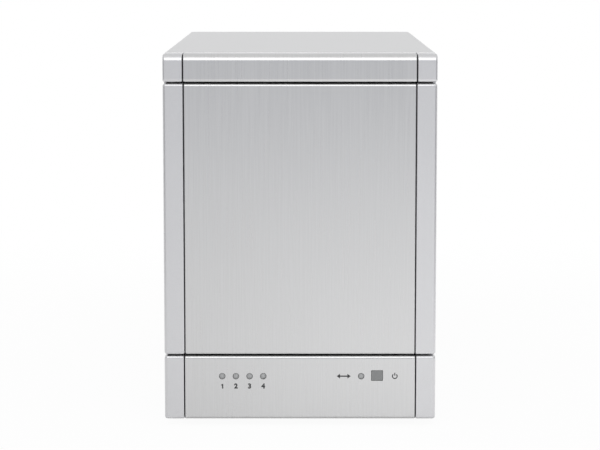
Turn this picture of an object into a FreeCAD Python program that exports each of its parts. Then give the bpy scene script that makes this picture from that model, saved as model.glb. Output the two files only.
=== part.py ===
import FreeCAD, Part
import math
import os
from FreeCAD import Vector

# A desktop tower for four hard drives, in millimetres.
# Z is up and the front faces -Y. Depth is measured back from the front plane.

# The 3.5 inch drive. It sets the trays, the bays and the height of the door.
DRIVE_W = 101.6
DRIVE_L = 147.0
DRIVE_H = 26.1
DRIVE_LID_T = 0.8
DRIVE_LID_INSET = 2.5
DRIVE_LID_R = 7.0
DRIVE_CORNER_R = 1.5
DRIVE_BOARD_W = 86.0
DRIVE_BOARD_L = 92.0
DRIVE_BOARD_T = 1.6
DRIVE_HOLE_Z = 6.35
DRIVE_HOLE_FROM_REAR = 28.5
DRIVE_HOLE_SPACING = 101.6
DRIVE_HOLE_DEEP = 5.0
DRIVE_SCREW_R = 1.5
DRIVE_SCREW_REACH = 4.0
DRIVE_HEAD_R = 2.7
DRIVE_HEAD_T = 1.3
HOLE_FIT = 0.12

# The plugs on the backplane that enter the back of each drive.
PLUG_X = 20.0
PLUG_W = 33.0
PLUG_H = 4.7
PLUG_RISE = 2.4
PLUG_ENTRY = 3.8
PLUG_FIT = 0.8

# The bays and the trays that slide in them.
BAYS = 4
BAY_PITCH = 31.5
TRAY_RISE = 2.5
TRAY_RAIL_T = 2.6
TRAY_RAIL_H = 18.0
TRAY_RAIL_R = 0.8
TRAY_LIP_W = 3.5
TRAY_LIP_T = 1.2
TRAY_BAR_W = 8.0
TRAY_FIT = 0.4
DRIVE_FIT = 0.15
NOSE_GAP = 0.4
NOSE_FIT = 0.35
NOSE_EDGE_R = 0.5
LATCH_SPRING_L = 5.3
TRAY_SHORT = 8.0

# The lever and the release button on each tray.
LEVER_T = 3.0
LEVER_PROUD = 2.0
LEVER_SIDE = 2.5
LEVER_SHORT = 19.0
LEVER_INSET = 3.6
LEVER_FIT = 0.3
LEVER_ROUND = 0.8
LEVER_END_R = 1.4
LEVER_PIN_R = 1.0
LEVER_PIN_IN = 2.6
LEVER_SLOT_W = 2.6
LEVER_SLOT_PITCH = 6.0
LEVER_SLOT_H = 12.0
LEVER_SCOOP_R = 8.0
LEVER_SCOOP_IN = 9.0
LEVER_SCOOP_T = 1.6
RELEASE_W = 11.0
RELEASE_H = 15.0
RELEASE_PROUD = 1.6
RELEASE_FIT = 0.3
RELEASE_RIM = 0.8
RELEASE_RIM_T = 1.0
RELEASE_TRAVEL = 1.5

# The front: three bands across the full width.
BODY_W = 132.0
BODY_D = 265.0
FOOT_H = 3.3
BOTTOM_BAND_H = 31.2
TOP_BAND_H = 13.5
BAND_D = 12.4
DOOR_GAP = 0.75
DOOR_MARGIN = 2.86
POST_W = 9.45
DOOR_POST_W = 9.75
SEAM_W = 0.5
FACE_T = 2.5
EDGE_R = 1.4
POST_R = 1.6
END_R = 1.2
SEAM_R = 0.4
TOP_R = 3.9
BAR_T = 2.0
BAR_INNER_R = 2.0
BAR_CORNER_R = 1.8
CREASE_W = 0.25
COVER_STEP = 0.35

# The door and its hinge.
DOOR_POST_D = 9.6
DOOR_POST_BACK_R = 3.0
DOOR_FRAME_T = 4.5
DOOR_SKIN_T = 2.0
DOOR_RIB_W = 4.0
DOOR_POCKET_COLUMNS = 2
DOOR_POCKET_ROWS = 3
TONGUE_T = 3.0
TONGUE_W = 1.9
TONGUE_FIT = 0.1
PIN_R = 1.5
PIN_IN = 4.8
PIN_REACH = 6.0
PIN_HOLD = 8.0
PIN_RUNNING = 0.05
PIN_SEAT = 0.02
BUSH_R = 2.3
BUSH_RIM_R = 3.3
BUSH_PLAY = 0.3
MAGNET_W = 6.0
MAGNET_H = 14.0
MAGNET_FROM_END = 22.0
STRIKE_T = 1.0
STRIKE_GAP = 0.3
STRIKE_FIT = 0.1

# The control panel.
LED_R = 1.5
LED_RIM_R = 1.9
LED_RIM_T = 1.0
LED_L = 5.3
LED_PROUD = 0.2
LED_DOME_R = 0.7
LED_FIT = 0.08
LED_Z = 21.2
LED_FROM_END = 18.15
LED_PITCH = 6.66
LINK_FROM_END = 26.25
POWER_FROM_END = 18.5
POWER_Z = 21.5
POWER_W = 5.4
POWER_H = 4.8
POWER_R = 0.4
POWER_EDGE_R = 0.2
POWER_PROUD = 0.3
POWER_FIT = 0.2
POWER_RIM = 0.8
POWER_RIM_T = 0.8
POWER_STEM_R = 1.5
POWER_STEM_L = 2.0
POWER_TRAVEL = 1.0
POWER_OVERRUN = 0.8
SWITCH_W = 6.0
SWITCH_T = 3.5
SWITCH_WELL_R = 1.75
PANEL_BOARD_D = 8.2
PANEL_BOARD_H = 18.0
PANEL_BOARD_SIDE = 8.5
PANEL_BOARD_LOW = 8.0
BOARD_T = 1.6
STAKE_R = 1.2
BOSS_R = 2.5
STAKE_INSET = 4.0

# The inner bezel.
BEZEL_T = 3.0
BEZEL_SHELF_T = 2.0
BEZEL_RIB_T = 2.0
BEZEL_RIBS = 5
BEZEL_FIT = 0.1

# Screw heads, with a cross recess as shares of the head's radius and height.
HEAD_CROWN = 0.9
RECESS_REACH = 0.58
RECESS_WIDTH = 0.2
RECESS_DEPTH = 0.6

# Cover, pan and rear panel.
COVER_T = 1.5
COVER_BEND_R = 1.8
COVER_EDGE_R = 0.4
COVER_FLANGE_W = 8.0
SLOTS_PER_BAY = 4
SLOT_H = 2.6
SLOT_L = 28.0
SLOT_D = 34.0
SHEET_T = 1.2
SHEET_BEND_R = 1.6
SHEET_FIT = 0.15
PAN_FLANGE_H = 12.0
PAN_SLOTS = 7
PAN_SLOT_W = 3.0
PAN_SLOT_L = 40.0
PAN_SLOT_PITCH = 9.0
PANEL_FLANGE_W = 9.0
COVER_SCREW_LOW = 26.0
COVER_SCREW_HIGH = 20.0
COVER_SCREW_R = 1.5
COVER_SCREW_L = 5.0
COVER_HEAD_R = 2.9
COVER_HEAD_T = 1.7

# Feet.
FOOT_R = 8.0
FOOT_TAPER = 1.0
FOOT_EDGE_R = 0.6
FOOT_FROM_CAGE = 5.95
FOOT_FROM_FRONT = 32.0
FOOT_FROM_REAR = 26.0
FOOT_WELL_R = 3.4
FOOT_WELL_H = 1.6
FOOT_HEAD_R = 3.0
FOOT_HEAD_T = 1.2
FOOT_SCREW_R = 1.5
FOOT_SCREW_L = 3.4

# Drive cage and guide rails.
CAGE_T = 1.0
CAGE_BEND_R = 1.2
CAGE_FOOT_W = 6.0
CAGE_LEG_FROM_FRONT = 24.0
CAGE_LEG_FROM_REAR = 14.0
CAGE_REAR_W = 8.0
CAGE_VENT_L = 90.0
CAGE_VENT_H = 9.0
CAGE_VENT_D = 36.0
CAGE_VENT_RISE = 10.0
GUIDE_W = 3.0
GUIDE_T = 2.0
GUIDE_GAP = 0.2
GUIDE_FROM_FRONT = 26.0
GUIDE_FROM_REAR = 8.0

# Backplane and controller board.
BACKPLANE_GAP = 4.0
BACKPLANE_MARGIN = 0.6
BACKPLANE_VENT_W = 80.0
BACKPLANE_VENT_H = 12.0
BACKPLANE_VENT_R = 2.4
BACKPLANE_VENT_RISE = 14.0
BACKPLANE_SCREW_R = 1.5
BACKPLANE_SCREW_L = 3.5
BACKPLANE_HEAD_R = 2.7
BACKPLANE_HEAD_T = 1.5
BACKPLANE_SCREW_IN = 3.6
BACKPLANE_SCREW_RISE = 9.0
CARD_FROM_FAN = 3.0
CARD_Z = 62.0
CARD_H = 96.0
CARD_GAP = 1.2
CARD_EDGE_FIT = 0.2
CARD_SOCKET_T = 8.0
CARD_SOCKET_W = 8.0
CARD_SOCKET_H = 60.0
CARD_CHIP_W = 22.0
CARD_CHIP_T = 6.0
USB_W = 12.0
USB_H = 11.0
USB_L = 16.0
USB_RISE = 16.0
USB_MOUTH_W = 8.6
USB_MOUTH_H = 7.9
USB_MOUTH_CUT = 1.6
USB_TONGUE_W = 5.6
USB_TONGUE_H = 3.2
SATA_W = 8.0
SATA_H = 16.0
SATA_L = 14.0
SATA_RISE = 44.0
SATA_MOUTH_W = 5.0
SATA_MOUTH_H = 12.5
SATA_MOUTH_CUT = 0.8
SATA_TONGUE_W = 1.2
SATA_TONGUE_H = 9.5
PORT_WELL = 8.5
PORT_PROUD = 0.6
PORT_FIT = 0.3

# Fan, its guard and its screws.
FAN_W = 80.0
FAN_D = 25.0
FAN_SIDE = 1.35
FAN_Z = 107.0
FAN_BORE_R = 38.0
FAN_RING_T = 1.9
FAN_FLANGE_T = 3.5
FAN_CORNER_R = 5.0
FAN_HOLE_SPACING = 71.5
FAN_HOLE_R = 2.15
FAN_POST_R = 3.6
FAN_STRUTS = 4
FAN_STRUT_W = 4.0
FAN_MOTOR_R = 15.0
FAN_MOTOR_T = 3.0
FAN_BOSS_R = 9.0
FAN_BOSS_L = 14.0
FAN_SHAFT_R = 1.5
FAN_SHAFT_RUNNING = 0.05
HUB_R = 16.0
HUB_T = 1.5
HUB_EDGE_R = 2.0
HUB_FROM_FRONT = 2.0
HUB_FLOAT = 0.7
BLADES = 7
BLADE_T = 1.3
BLADE_CAMBER = 1.6
BLADE_TIP_GAP = 1.0
BLADE_RISE_ROOT = 13.5
BLADE_RISE_TIP = 10.0
BLADE_RUN_ROOT = 8.0
BLADE_RUN_TIP = 21.0
BLADE_SWEEP = 16.0
GUARD_WIRE = 1.6
GUARD_WELD = 0.3
GUARD_RINGS = (9.0, 18.0, 27.0, 36.0)
GUARD_EYE_R = 4.0
FAN_HEAD_R = 3.4
FAN_HEAD_T = 2.2
FAN_SCREW_R = 2.0
FAN_SCREW_L = 10.0

# Power supply, mains inlet and rocker switch.
SUPPLY_W = 74.0
SUPPLY_L = 150.0
SUPPLY_H = 25.0
SUPPLY_EDGE_R = 1.5
SUPPLY_X = -14.0
SUPPLY_D = 62.0
SUPPLY_SLOTS = 6
SUPPLY_SLOT_W = 3.0
SUPPLY_SLOT_T = 1.5
SUPPLY_SLOT_PITCH = 10.0
SUPPLY_SLOT_L = 40.0
INLET_SIDE = 2.35
INLET_Z = 16.5
INLET_FLANGE_W = 48.0
INLET_FLANGE_H = 22.0
INLET_FLANGE_T = 2.0
INLET_FLANGE_R = 3.0
INLET_W = 28.0
INLET_H = 19.5
INLET_L = 22.0
INLET_WELL_W = 24.4
INLET_WELL_H = 16.4
INLET_WELL_L = 17.0
INLET_WELL_CUT = 4.5
INLET_PIN_W = 2.0
INLET_PIN_H = 4.0
INLET_PIN_SUNK = 4.4
INLET_PIN_SIDE = 7.0
INLET_PIN_DROP = 2.0
INLET_HOLE_SPACING = 40.0
INLET_SCREW_R = 1.5
INLET_SCREW_L = 6.0
INLET_HEAD_R = 2.7
INLET_HEAD_T = 1.2
CUTOUT_FIT = 0.3
ROCKER_FROM_INLET = 5.5
ROCKER_BEZEL_W = 21.0
ROCKER_BEZEL_H = 15.0
ROCKER_BEZEL_T = 1.6
ROCKER_BEZEL_R = 1.5
ROCKER_BODY_W = 18.6
ROCKER_BODY_H = 12.6
ROCKER_BODY_L = 14.0
ROCKER_W = 15.0
ROCKER_H = 9.4
ROCKER_T = 4.2
ROCKER_TAPER = 1.5
ROCKER_DISH = 0.8
ROCKER_FIT = 0.35
ROCKER_WELL_L = 7.5
ROCKER_TILT = 9.0
ROCKER_PIN_R = 1.0
ROCKER_PIN_L = 1.0
ROCKER_PIN_FIT = 0.05
REAR_SLOT_FROM_SWITCH = 8.5
REAR_SLOT_W = 2.6
REAR_SLOT_H = 18.0
REAR_SLOT_PITCH = 5.5

# A cut runs this far past the face it opens.
PAST = 1.0
TOUCH = 1e-4

ACROSS = Vector(1, 0, 0)
BACK = Vector(0, 1, 0)
UP = Vector(0, 0, 1)

# Heights, from the floor up.
BASE_Z = FOOT_H
BAND_Z = BASE_Z + BOTTOM_BAND_H
DOOR_Z0 = BAND_Z + DOOR_GAP
BAY_Z0 = DOOR_Z0 + DOOR_MARGIN
BAY_Z1 = BAY_Z0 + BAYS * BAY_PITCH
DOOR_Z1 = BAY_Z1 + DOOR_MARGIN
TOP_BAND_Z = DOOR_Z1 + DOOR_GAP
BAR_Z = TOP_BAND_Z + TOP_BAND_H
TOP_Z = BAR_Z + COVER_STEP
PAN_Z = BASE_Z + SHEET_T
LED_LEVEL = BASE_Z + LED_Z
POWER_LEVEL = BASE_Z + POWER_Z
MAINS_LEVEL = BASE_Z + INLET_Z
BUSH_RIM_T = DOOR_GAP - BUSH_PLAY

# Widths, from the middle out.
HALF_W = BODY_W / 2
INNER_X = HALF_W - COVER_T - SHEET_FIT
POST_X = HALF_W - POST_W
DOOR_POST_X = HALF_W - DOOR_POST_W
FACE_X = POST_X - SEAM_W
DOOR_FACE_X = DOOR_POST_X - SEAM_W
LED_X = LED_FROM_END - FACE_X
LINK_LED_X = FACE_X - LINK_FROM_END
POWER_X = FACE_X - POWER_FROM_END
RAIL_X0 = DRIVE_W / 2 + DRIVE_FIT
RAIL_X1 = RAIL_X0 + TRAY_RAIL_T
CAGE_X = RAIL_X1 + TRAY_FIT
FOOT_X = CAGE_X - FOOT_FROM_CAGE
NOSE_X = CAGE_X + CAGE_T
WINDOW_X = NOSE_X + NOSE_FIT

# The rear panel's layout, from the edges of the cover's flanges inwards.
FLANGE_X = INNER_X - COVER_FLANGE_W
FAN_X = FAN_W / 2 + FAN_SIDE - FLANGE_X
CARD_X = FAN_X + FAN_W / 2 + CARD_FROM_FAN
INLET_X = INLET_FLANGE_W / 2 + INLET_SIDE - FLANGE_X
ROCKER_X = INLET_X + INLET_FLANGE_W / 2 + ROCKER_FROM_INLET + ROCKER_BEZEL_W / 2
REAR_SLOT_X = ROCKER_X + ROCKER_BEZEL_W / 2 + REAR_SLOT_FROM_SWITCH

# Depths, from the front plane back.
COVER_D = BAND_D + CREASE_W
BEZEL_D1 = BAND_D + BEZEL_T
CAGE_D = BEZEL_D1 + SHEET_FIT
LATCH_ROOM = GUIDE_GAP + RELEASE_RIM_T + RELEASE_TRAVEL + LATCH_SPRING_L
DRIVE_D = BEZEL_D1 + LATCH_ROOM
DRIVE_D1 = DRIVE_D + DRIVE_L
TRAY_D1 = DRIVE_D1 - TRAY_SHORT
BACKPLANE_D = DRIVE_D1 + BACKPLANE_GAP
BACKPLANE_D1 = BACKPLANE_D + BOARD_T
PANEL_D1 = BODY_D - COVER_T - SHEET_FIT
PANEL_D = PANEL_D1 - SHEET_T
FAN_FRONT = PANEL_D - FAN_D
REAR_END = PANEL_D1 + GUARD_WIRE + FAN_HEAD_T
FRONT_Y = (POWER_PROUD - REAR_END) / 2
POWER_RIM_D = FACE_T + BEZEL_FIT
POWER_STEM_D = POWER_RIM_D + POWER_RIM_T
POWER_STEM_D1 = POWER_STEM_D + POWER_STEM_L

# The hinge axis, in the left door post.
HINGE_X = PIN_IN - HALF_W
HINGE_D = PIN_IN


def spot(x, d, z):
    return Vector(x, FRONT_Y + d, z)


def block(x0, x1, d0, d1, z0, z1):
    return Part.makeBox(x1 - x0, d1 - d0, z1 - z0, spot(x0, d0, z0))


def rod(x, d, z, length, radius, axis):
    return Part.makeCylinder(radius, length, spot(x, d, z), axis)


def in_plan(z):
    return lambda u, v: Vector(u, FRONT_Y + v, z)


def in_side(x):
    return lambda u, v: Vector(x, FRONT_Y + u, v)


def in_front(d):
    return lambda u, v: Vector(u, FRONT_Y + d, v)


def corner_arc(corner, before, after):
    """Start, middle and end of the arc that rounds one corner of an outline."""
    u, v, radius = corner
    to_before = Vector(before[0] - u, before[1] - v, 0).normalize()
    to_after = Vector(after[0] - u, after[1] - v, 0).normalize()
    point = Vector(u, v, 0)
    if radius == 0:
        return point, point, point
    half = to_before.getAngle(to_after) / 2
    run = radius / math.tan(half)
    inward = (to_before + to_after).normalize()
    middle = point + inward * (radius / math.sin(half) - radius)
    return point + to_before * run, middle, point + to_after * run


def outline(corners, place):
    """A flat face with corners of (u, v, corner radius)."""
    count = len(corners)
    arcs = [corner_arc(corners[i], corners[i - 1], corners[(i + 1) % count]) for i in range(count)]
    edges = []
    for i in range(count):
        start, middle, end = [place(p.x, p.y) for p in arcs[i]]
        following = place(arcs[(i + 1) % count][0].x, arcs[(i + 1) % count][0].y)
        if corners[i][2] > 0:
            edges.append(Part.Arc(start, middle, end).toShape())
        if (following - end).Length > TOUCH:
            edges.append(Part.makeLine(end, following))
    return Part.Face(Part.Wire(edges))


def prism(corners, place, direction):
    """A solid swept from an outline of (u, v, corner radius)."""
    return outline(corners, place).extrude(direction)


def turned(corners, start, axis, radial):
    """A solid turned about an axis from an outline of (along, radius, corner radius)."""
    face = outline(corners, lambda u, v: start + axis * u + radial * v)
    return face.revolve(start, axis, 360)


def plate(x0, x1, d0, d1, z0, z1, radius):
    """A block with its four edges along the depth rounded."""
    corners = [(x0, z0, radius), (x1, z0, radius), (x1, z1, radius), (x0, z1, radius)]
    return prism(corners, in_front(d0), BACK * (d1 - d0))


def slab(x0, x1, d0, d1, z0, z1, radius):
    """A block with its four upright edges rounded."""
    corners = [(x0, d0, radius), (x1, d0, radius), (x1, d1, radius), (x0, d1, radius)]
    return prism(corners, in_plan(z0), UP * (z1 - z0))


def centred(x, z, width, height, d0, d1, radius):
    """A plate round a point of the front view."""
    return plate(x - width / 2, x + width / 2, d0, d1, z - height / 2, z + height / 2, radius)


def keyed(x, z, width, height, cut):
    """The outline of a socket's mouth: a rectangle with its two upper corners cut off."""
    half_w = width / 2
    half_h = height / 2
    return [
        (x - half_w, z - half_h, 0),
        (x + half_w, z - half_h, 0),
        (x + half_w, z + half_h - cut, 0),
        (x + half_w - cut, z + half_h, 0),
        (x - half_w + cut, z + half_h, 0),
        (x - half_w, z + half_h - cut, 0),
    ]


def on_plane(edge, axis, value):
    box = edge.BoundBox
    low = {"x": box.XMin, "y": box.YMin, "z": box.ZMin}[axis]
    high = {"x": box.XMax, "y": box.YMax, "z": box.ZMax}[axis]
    return abs(low - value) < TOUCH and abs(high - value) < TOUCH


def rounded(shape, radius, test):
    return shape.makeFillet(radius, [edge for edge in shape.Edges if test(edge)])


def mirrored(shape):
    return shape.mirror(Vector(0, 0, 0), ACROSS)


def joined(first, *others):
    return first.fuse(list(others)).removeSplitter()


def screw(start, axis, shank_r, shank_l, head_r, head_t):
    """A cross-recessed pan-head screw; start lies under the head, and the axis points out of it."""
    radial = ACROSS if axis.z else UP
    side = axis.cross(radial)
    profile = [
        (-shank_l, 0, 0),
        (-shank_l, shank_r, 0),
        (0, shank_r, 0),
        (0, head_r, 0),
        (head_t, head_r, HEAD_CROWN),
        (head_t, 0, 0),
    ]
    body = turned(profile, start, axis, radial)
    floor = start + axis * (head_t * (1 - RECESS_DEPTH))
    reach = head_r * RECESS_REACH
    half = head_r * RECESS_WIDTH / 2
    arm = [(-reach, -half, 0), (reach, -half, 0), (reach, half, 0), (-reach, half, 0)]
    for along, over in ((radial, side), (side, radial)):
        body = body.cut(prism(arm, lambda u, v: floor + along * u + over * v, axis * head_t))
    return body


def bay_floor(number):
    """Bay 1 is the top one."""
    return BAY_Z0 + (BAYS - number) * BAY_PITCH


def post(x_in, depth, z0, z1, back_r):
    """A right-hand corner post, rounded on its outer edges and at both ends."""
    corners = [(x_in, 0, 0), (HALF_W, 0, POST_R), (HALF_W, depth, back_r), (x_in, depth, 0)]
    body = prism(corners, in_plan(z0), UP * (z1 - z0))
    back = FRONT_Y + depth

    def at_end(edge):
        ends = on_plane(edge, "z", z0) or on_plane(edge, "z", z1)
        return ends and not on_plane(edge, "x", x_in) and not on_plane(edge, "y", back)

    body = rounded(body, END_R, at_end)
    return rounded(body, SEAM_R, lambda e: on_plane(e, "x", x_in) and not on_plane(e, "y", back))


def top_post():
    """The right-hand end of the top band, with the band's large front rounding."""
    corners = [(0, TOP_BAND_Z, EDGE_R), (0, BAR_Z, TOP_R), (BAND_D, BAR_Z, 0), (BAND_D, TOP_BAND_Z, 0)]
    body = prism(corners, in_side(POST_X), ACROSS * POST_W)
    back = FRONT_Y + BAND_D
    body = rounded(body, END_R, lambda e: on_plane(e, "x", HALF_W) and not on_plane(e, "y", back))
    return rounded(body, SEAM_R, lambda e: on_plane(e, "x", POST_X) and not on_plane(e, "y", back))


def face_plate(half, z0, z1):
    """A brushed centre plate between two posts."""
    corners = [(0, z0, EDGE_R), (0, z1, EDGE_R), (FACE_T, z1, 0), (FACE_T, z0, 0)]
    body = prism(corners, in_side(-half), ACROSS * (2 * half))
    back = FRONT_Y + FACE_T

    def at_side(edge):
        sides = on_plane(edge, "x", half) or on_plane(edge, "x", -half)
        return sides and not on_plane(edge, "y", back)

    return rounded(body, SEAM_R, at_side)


def top_bar():
    """The brushed strip of the top band, folded back over the top."""
    inner_z = BAR_Z - BAR_T
    corners = [
        (0, TOP_BAND_Z, EDGE_R),
        (0, BAR_Z, TOP_R),
        (BAND_D, BAR_Z, 0),
        (BAND_D, inner_z, 0),
        (FACE_T, inner_z, BAR_INNER_R),
        (FACE_T, TOP_BAND_Z, 0),
    ]
    body = prism(corners, in_side(-FACE_X), ACROSS * (2 * FACE_X))
    back = FRONT_Y + BAND_D

    def at_side(edge):
        return on_plane(edge, "x", FACE_X) or on_plane(edge, "x", -FACE_X)

    def outer_side(edge):
        box = edge.BoundBox
        inside = box.YMin > FRONT_Y + FACE_T - TOUCH and box.ZMin < BAR_Z - TOUCH
        return at_side(edge) and not inside

    body = rounded(body, BAR_CORNER_R, lambda e: on_plane(e, "y", back) and at_side(e))
    return rounded(body, SEAM_R, outer_side)


def hinge_hole(z0, z1, radius):
    return rod(HINGE_X, HINGE_D, z0, z1 - z0, radius, UP)


def band_pieces():
    left_top = mirrored(top_post())
    left_bottom = mirrored(post(POST_X, BAND_D, BASE_Z, BAND_Z, 0))
    seat = PIN_R + PIN_SEAT
    return {
        "top_bar": top_bar(),
        "top_corner_left": left_top.cut(hinge_hole(TOP_BAND_Z - PAST, TOP_BAND_Z + PIN_HOLD, seat)),
        "top_corner_right": top_post(),
        "bottom_corner_left": left_bottom.cut(hinge_hole(BAND_Z - PIN_HOLD, BAND_Z + PAST, seat)),
        "bottom_corner_right": post(POST_X, BAND_D, BASE_Z, BAND_Z, 0),
        "hinge_pins": Part.makeCompound([
            hinge_hole(DOOR_Z1 - PIN_REACH, TOP_BAND_Z + PIN_HOLD, PIN_R),
            hinge_hole(BAND_Z - PIN_HOLD, DOOR_Z0 + PIN_REACH, PIN_R),
        ]),
    }


def magnet_heights():
    return [DOOR_Z0 + MAGNET_FROM_END, DOOR_Z1 - MAGNET_FROM_END]


def magnet_block(z, d0, d1, room):
    x = HALF_W - DOOR_POST_W / 2
    half_w = MAGNET_W / 2 + room
    half_h = MAGNET_H / 2 + room
    return block(x - half_w, x + half_w, d0, d1, z - half_h, z + half_h)


def door_post():
    """The right-hand door post, grooved for the inner frame's tongue."""
    body = post(DOOR_POST_X, DOOR_POST_D, DOOR_Z0, DOOR_Z1, DOOR_POST_BACK_R)
    middle = FACE_T + DOOR_FRAME_T / 2
    reach = DOOR_POST_X + TONGUE_W + TONGUE_FIT
    half = TONGUE_T / 2 + TONGUE_FIT
    z0 = DOOR_Z0 - PAST
    z1 = DOOR_Z1 + PAST
    return body.cut(block(DOOR_POST_X - PAST, reach, middle - half, middle + half, z0, z1))


def door_frame():
    """The moulded back of the door: a skin with ribs, and a tongue at each side."""
    z0 = DOOR_Z0 + END_R
    z1 = DOOR_Z1 - END_R
    back = FACE_T + DOOR_FRAME_T
    half = DOOR_POST_X - TONGUE_FIT
    middle = FACE_T + DOOR_FRAME_T / 2
    tongue = DOOR_POST_X + TONGUE_W
    body = block(-half, half, FACE_T, back, z0, z1)
    body = joined(body, block(-tongue, tongue, middle - TONGUE_T / 2, middle + TONGUE_T / 2, z0, z1))
    step_x = (2 * half - DOOR_RIB_W) / DOOR_POCKET_COLUMNS
    step_z = (z1 - z0 - DOOR_RIB_W) / DOOR_POCKET_ROWS
    for column in range(DOOR_POCKET_COLUMNS):
        for row in range(DOOR_POCKET_ROWS):
            x = DOOR_RIB_W - half + column * step_x
            z = z0 + DOOR_RIB_W + row * step_z
            d = FACE_T + DOOR_SKIN_T
            x1 = x + step_x - DOOR_RIB_W
            z_end = z + step_z - DOOR_RIB_W
            body = body.cut(plate(x, x1, d, back + PAST, z, z_end, DOOR_RIB_W))
    return body


def hinge_bush(z_end, inward):
    """A flanged bush in the end of the door post; inward is +1 or -1 along Z."""
    length = PIN_REACH + PIN_RUNNING
    profile = [
        (-BUSH_RIM_T, PIN_R + PIN_RUNNING, 0),
        (-BUSH_RIM_T, BUSH_RIM_R, 0),
        (0, BUSH_RIM_R, 0),
        (0, BUSH_R, 0),
        (length, BUSH_R, 0),
        (length, PIN_R + PIN_RUNNING, 0),
    ]
    return turned(profile, spot(HINGE_X, HINGE_D, z_end), UP * inward, ACROSS)


def door_pieces():
    left = mirrored(door_post())
    well = BUSH_R + PIN_SEAT
    depth = PIN_REACH + 2 * DOOR_GAP
    left = left.cut(hinge_hole(DOOR_Z1 - depth, DOOR_Z1 + PAST, well))
    left = left.cut(hinge_hole(DOOR_Z0 - PAST, DOOR_Z0 + depth, well))
    right = door_post()
    for z in magnet_heights():
        right = right.cut(magnet_block(z, DOOR_POST_D - STRIKE_T, DOOR_POST_D + PAST, STRIKE_FIT))
    strikes = [magnet_block(z, DOOR_POST_D - STRIKE_T, DOOR_POST_D, 0) for z in magnet_heights()]
    magnets = [magnet_block(z, DOOR_POST_D + STRIKE_GAP, BAND_D, 0) for z in magnet_heights()]
    return {
        "door_panel": face_plate(DOOR_FACE_X, DOOR_Z0, DOOR_Z1),
        "door_pillar_left": left,
        "door_pillar_right": right,
        "door_inner_frame": door_frame(),
        "hinge_bushes": Part.makeCompound([hinge_bush(DOOR_Z1, -1), hinge_bush(DOOR_Z0, 1)]),
        "door_strikes": Part.makeCompound(strikes),
        "door_magnets": Part.makeCompound(magnets),
    }


def led_places():
    row = [LED_X + i * LED_PITCH for i in range(BAYS)]
    return row + [LINK_LED_X]


def led(x):
    """A 3 mm indicator with a rounded end, on a spacer that stands on the board."""
    spacer = LED_L - LED_RIM_T
    end = PANEL_BOARD_D + LED_PROUD
    profile = [
        (0, 0, 0),
        (0, LED_R, LED_DOME_R),
        (spacer, LED_R, 0),
        (spacer, LED_RIM_R, 0),
        (end, LED_RIM_R, 0),
        (end, 0, 0),
    ]
    return turned(profile, spot(x, -LED_PROUD, LED_LEVEL), BACK, UP)


def power_block(room, d0, d1):
    return centred(POWER_X, POWER_LEVEL, POWER_W + 2 * room, POWER_H + 2 * room, d0, d1, POWER_R)


def power_button():
    """The square cap, its rim behind the plate and its stem to the switch."""
    cap = power_block(0, -POWER_PROUD, POWER_RIM_D)
    cap = rounded(cap, POWER_EDGE_R, lambda e: on_plane(e, "y", FRONT_Y - POWER_PROUD))
    rim = power_block(POWER_RIM, POWER_RIM_D, POWER_STEM_D)
    stem = rod(POWER_X, POWER_STEM_D, POWER_LEVEL, POWER_STEM_L, POWER_STEM_R, BACK)
    return joined(cap, rim, stem)


def panel_board_box():
    half = POST_X - PANEL_BOARD_SIDE
    z0 = BASE_Z + PANEL_BOARD_LOW
    return -half, half, z0, z0 + PANEL_BOARD_H


def stake_places():
    x0, x1, z0, z1 = panel_board_box()
    sides = (x0 + STAKE_INSET, x1 - STAKE_INSET)
    return [(x, z) for x in sides for z in (z0 + STAKE_INSET, z1 - STAKE_INSET)]


def control_pieces():
    panel = face_plate(FACE_X, BASE_Z, BAND_Z)
    for x in led_places():
        panel = panel.cut(rod(x, -PAST, LED_LEVEL, FACE_T + 2 * PAST, LED_R + LED_FIT, BACK))
    panel = panel.cut(power_block(POWER_FIT, -PAST, FACE_T + PAST))
    x0, x1, z0, z1 = panel_board_box()
    board = block(x0, x1, PANEL_BOARD_D, PANEL_BOARD_D + BOARD_T, z0, z1)
    for x, z in stake_places():
        board = board.cut(rod(x, PANEL_BOARD_D - PAST, z, BOARD_T + 2 * PAST, STAKE_R + BEZEL_FIT, BACK))
    switch_d = PANEL_BOARD_D - SWITCH_T
    switch = centred(POWER_X, POWER_LEVEL, SWITCH_W, SWITCH_W, switch_d, PANEL_BOARD_D, 0)
    well_d = switch_d - PAST
    well_l = POWER_STEM_D1 + POWER_TRAVEL + POWER_OVERRUN - well_d
    switch = switch.cut(rod(POWER_X, well_d, POWER_LEVEL, well_l, SWITCH_WELL_R, BACK))
    return {
        "control_panel": panel,
        "indicator_leds": Part.makeCompound([led(x) for x in led_places()]),
        "power_button": power_button(),
        "panel_board": board,
        "power_switch": switch,
    }


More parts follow.
